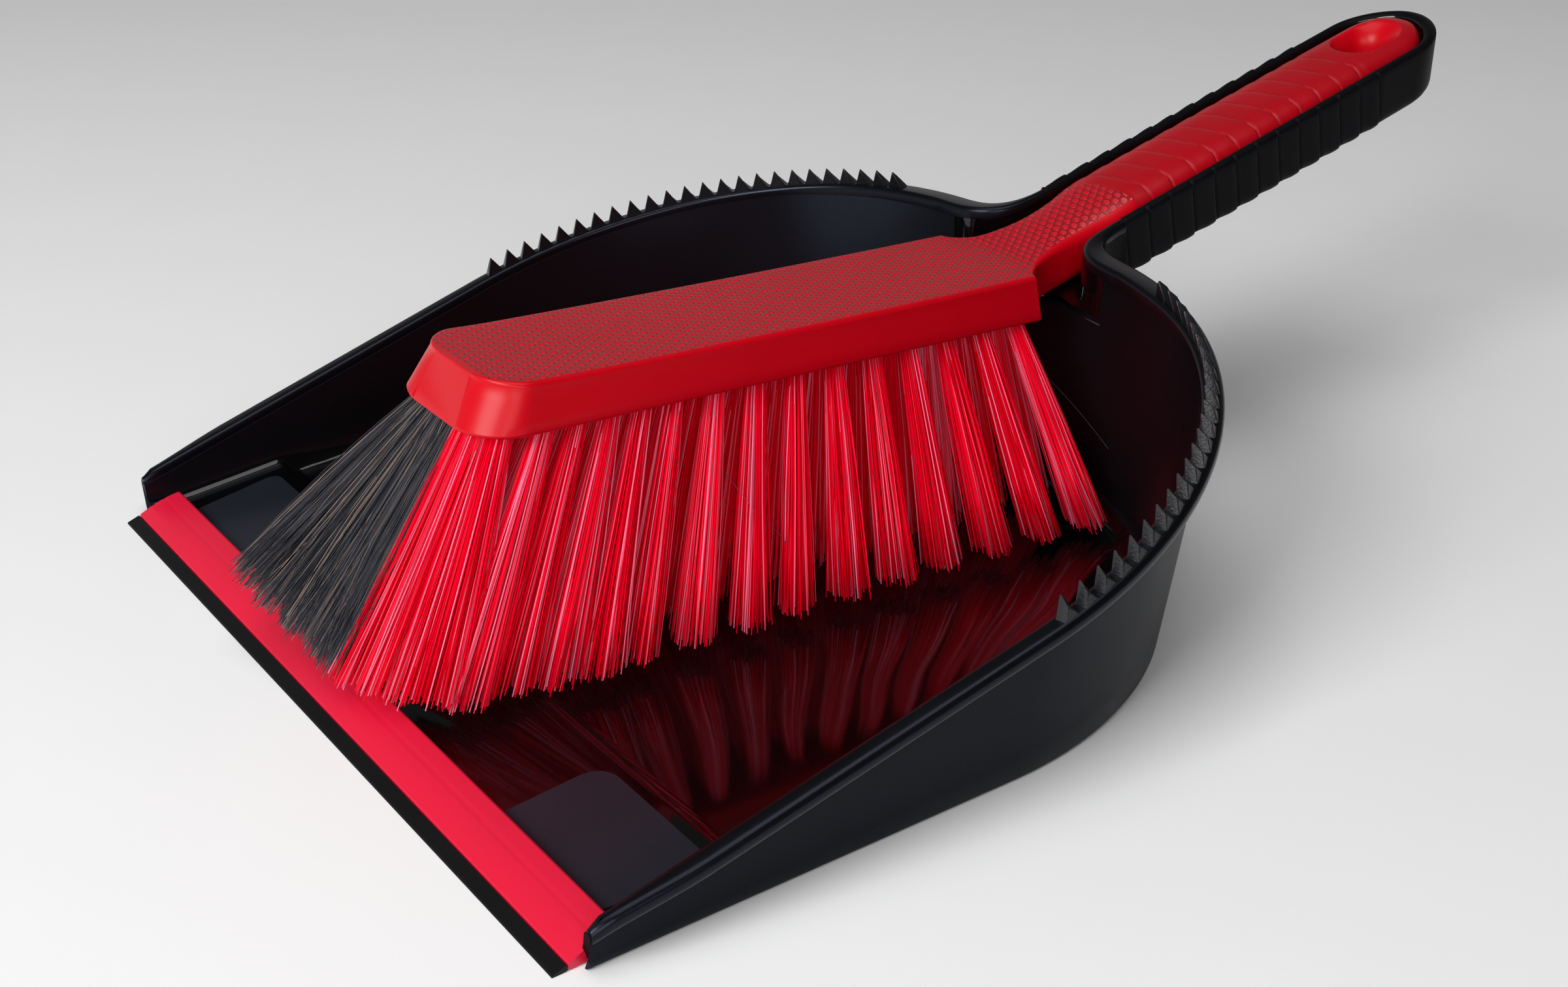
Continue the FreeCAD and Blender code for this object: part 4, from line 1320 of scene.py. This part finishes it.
@dataclass
class StrayHairs:
    """A few loose hairs caught between the tufts and on the lip."""

    brush: BrushBody
    thickness: float = 0.11
    stops: int = 15

    def build(self, palette: Palette) -> None:
        """Build the pale hairs and the dark ones."""
        rear = self.brush.rear
        pale = [((-30, 33, 34), (-44, 22, 15), (-62, 12, 7)),
                ((-26, 24, 24), (-46, 17, 8), (-56, 20, 6)),
                ((-48, 44, 20), (-60, 34, 19), (-66, 30, 14))]
        dark = [((24, 96, 42), (29, 102, 30), (32, 112, 19)),
                ((19, rear - 5, 46), (33, rear + 8, 30), (44, rear + 17, 8))]
        for name, curves, material in (("stray_hairs_pale", pale, palette.stray),
                                       ("stray_hairs_dark", dark, palette.hair)):
            points: list[Point] = []
            faces: list[Sequence[int]] = []
            for start, bend, stop in curves:
                self.add_hair(points, faces, Vector(start), Vector(bend), Vector(stop))
            piece = make_piece(name, points, faces, (material,), Body.BRUSH, sharp=180, weld=False)
            layer = piece.data.attributes.new("tone", "FLOAT", "POINT")
            layer.data.foreach_set("value", [0.5] * len(points))

    def add_hair(self, points: list[Point], faces: list[Sequence[int]], start: Vector,
                 bend: Vector, stop: Vector) -> None:
        """Append one hair along a curve through three points."""
        base = len(points)
        for t in spread(0, 1, self.stops):
            centre = start.lerp(bend, t).lerp(bend.lerp(stop, t), t)
            for turn in (0, 2.094, 4.189):
                points.append((centre.x + math.cos(turn) * self.thickness, centre.y,
                               centre.z + math.sin(turn) * self.thickness))
        faces += grid_faces(self.stops, 3, ring=True, base=base)


# --- studio -------------------------------------------------------------------------------

@dataclass
class Studio:
    """Floor, soft lights and camera."""

    eye: Point = (0.3750, -0.3139, 0.2477)
    aim: Point = (-0.72486, 0.52142, -0.45022)
    lens: float = 47.32
    shift_x: float = -0.004

    def build(self) -> None:
        """Make the stage, the lights and the camera."""
        bpy.context.scene.view_settings.view_transform = "Standard"
        self.floor()
        self.world()
        self.softbox("key_softbox", (0.3, -1.25, 0.8), (0, -0.02, 0.03), 0.8, 0.6, 16.0)
        self.softbox("top_softbox", (0.1, -0.2, 1.5), (0, -0.03, 0.02), 1.2, 1.0, 8.0)
        self.softbox("fill_softbox", (1.15, -0.75, 0.55), (0, -0.05, 0.03), 0.7, 0.5, 4.2)
        self.camera()

    def floor(self) -> None:
        """Pale plain floor."""
        mesh = bpy.data.meshes.new("floor")
        reach = 20.0
        mesh.from_pydata([(-reach, -reach, 0), (reach, -reach, 0), (reach, reach, 0),
                          (-reach, reach, 0)], [], [(0, 1, 2, 3)])
        # Matt lacquered board, almost white.
        mesh.materials.append(Finish("floor_matt_white", "#F6F6F6", "#F3F3F3", 0.9,
                                     grain_mm=4.0, grain_depth=0.02).build())
        floor = bpy.data.objects.new("floor", mesh)
        bpy.context.scene.collection.objects.link(floor)

    def world(self) -> None:
        """Pale surroundings near the horizon, dim overhead."""
        world = bpy.data.worlds.new("studio")
        world.use_nodes = True
        tree = world.node_tree
        back = tree.nodes["Background"]
        place = add_node(tree, "ShaderNodeTexCoord").outputs["Generated"]
        height = add_node(tree, "ShaderNodeSeparateXYZ", None, {0: place}).outputs["Z"]
        glow = add_node(tree, "ShaderNodeMapRange", {"interpolation_type": "SMOOTHSTEP"}, {
            "Value": height, "From Min": 0.30, "From Max": 0.60, "To Min": 0.36, "To Max": 0.08})
        aside = add_node(tree, "ShaderNodeVectorMath", {"operation": "DOT_PRODUCT"}, {
            0: place, 1: (0.62, 0.78, 0.0)})
        flag = add_node(tree, "ShaderNodeMapRange", {"interpolation_type": "SMOOTHSTEP"}, {
            "Value": aside.outputs["Value"], "From Min": 0.2, "From Max": 0.8, "To Min": 1.0,
            "To Max": 0.25})
        glow = add_node(tree, "ShaderNodeMath", {"operation": "MULTIPLY"}, {
            0: glow.outputs["Result"], 1: flag.outputs["Result"]})
        back.inputs["Color"].default_value = (1.0, 1.0, 1.0, 1.0)
        tree.links.new(glow.outputs[0], back.inputs["Strength"])
        bpy.context.scene.world = world

    def softbox(self, name: str, place: Point, aim: Point, width: float, height: float,
                power: float) -> None:
        """One rectangular area light aimed at a point."""
        data = bpy.data.lights.new(name, "AREA")
        data.shape = "RECTANGLE"
        data.size, data.size_y = width, height
        data.energy = power
        lamp = bpy.data.objects.new(name, data)
        lamp.location = place
        lamp.rotation_euler = (Vector(aim) - Vector(place)).to_track_quat("-Z", "Y").to_euler()
        bpy.context.scene.collection.objects.link(lamp)

    def camera(self) -> None:
        """Camera without roll, looking down on the near front corner."""
        data = bpy.data.cameras.new("camera")
        data.lens = self.lens
        data.sensor_width = 36.0
        data.shift_x = self.shift_x
        data.clip_start = 0.02
        camera = bpy.data.objects.new("camera", data)
        back = -Vector(self.aim).normalized()
        right = Vector((0, 0, 1)).cross(back).normalized()
        up = back.cross(right)
        camera.matrix_world = (Matrix.Translation(self.eye)
                               @ Matrix((right, up, back)).transposed().to_4x4())
        bpy.context.scene.collection.objects.link(camera)
        bpy.context.scene.camera = camera


def main() -> None:
    """Build every piece in order."""
    logging.basicConfig(level=logging.INFO, format="%(name)s: %(message)s")
    palette = Palette()
    pan = Pan()
    pan.plan_rim()
    tray = pan.build_tray(palette)
    for piece in (tray, pan.build_reflection_pads(palette), pan.build_rim(palette), pan.build_comb(palette),
                  pan.build_channel(palette)):
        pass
    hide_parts("pan")
    lip = Lip()
    profile = lip.build_profile(palette)
    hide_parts("lip_clip")
    blade = lip.build_blade(palette)
    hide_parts("lip_blade")
    brush = BrushBody(pan)
    moulding = brush.build(palette)
    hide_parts("brush_block")
    Tufts(brush).build(palette)
    StrayHairs(brush).build(palette)
    Studio().build()


if __name__ == "__main__":
    main()
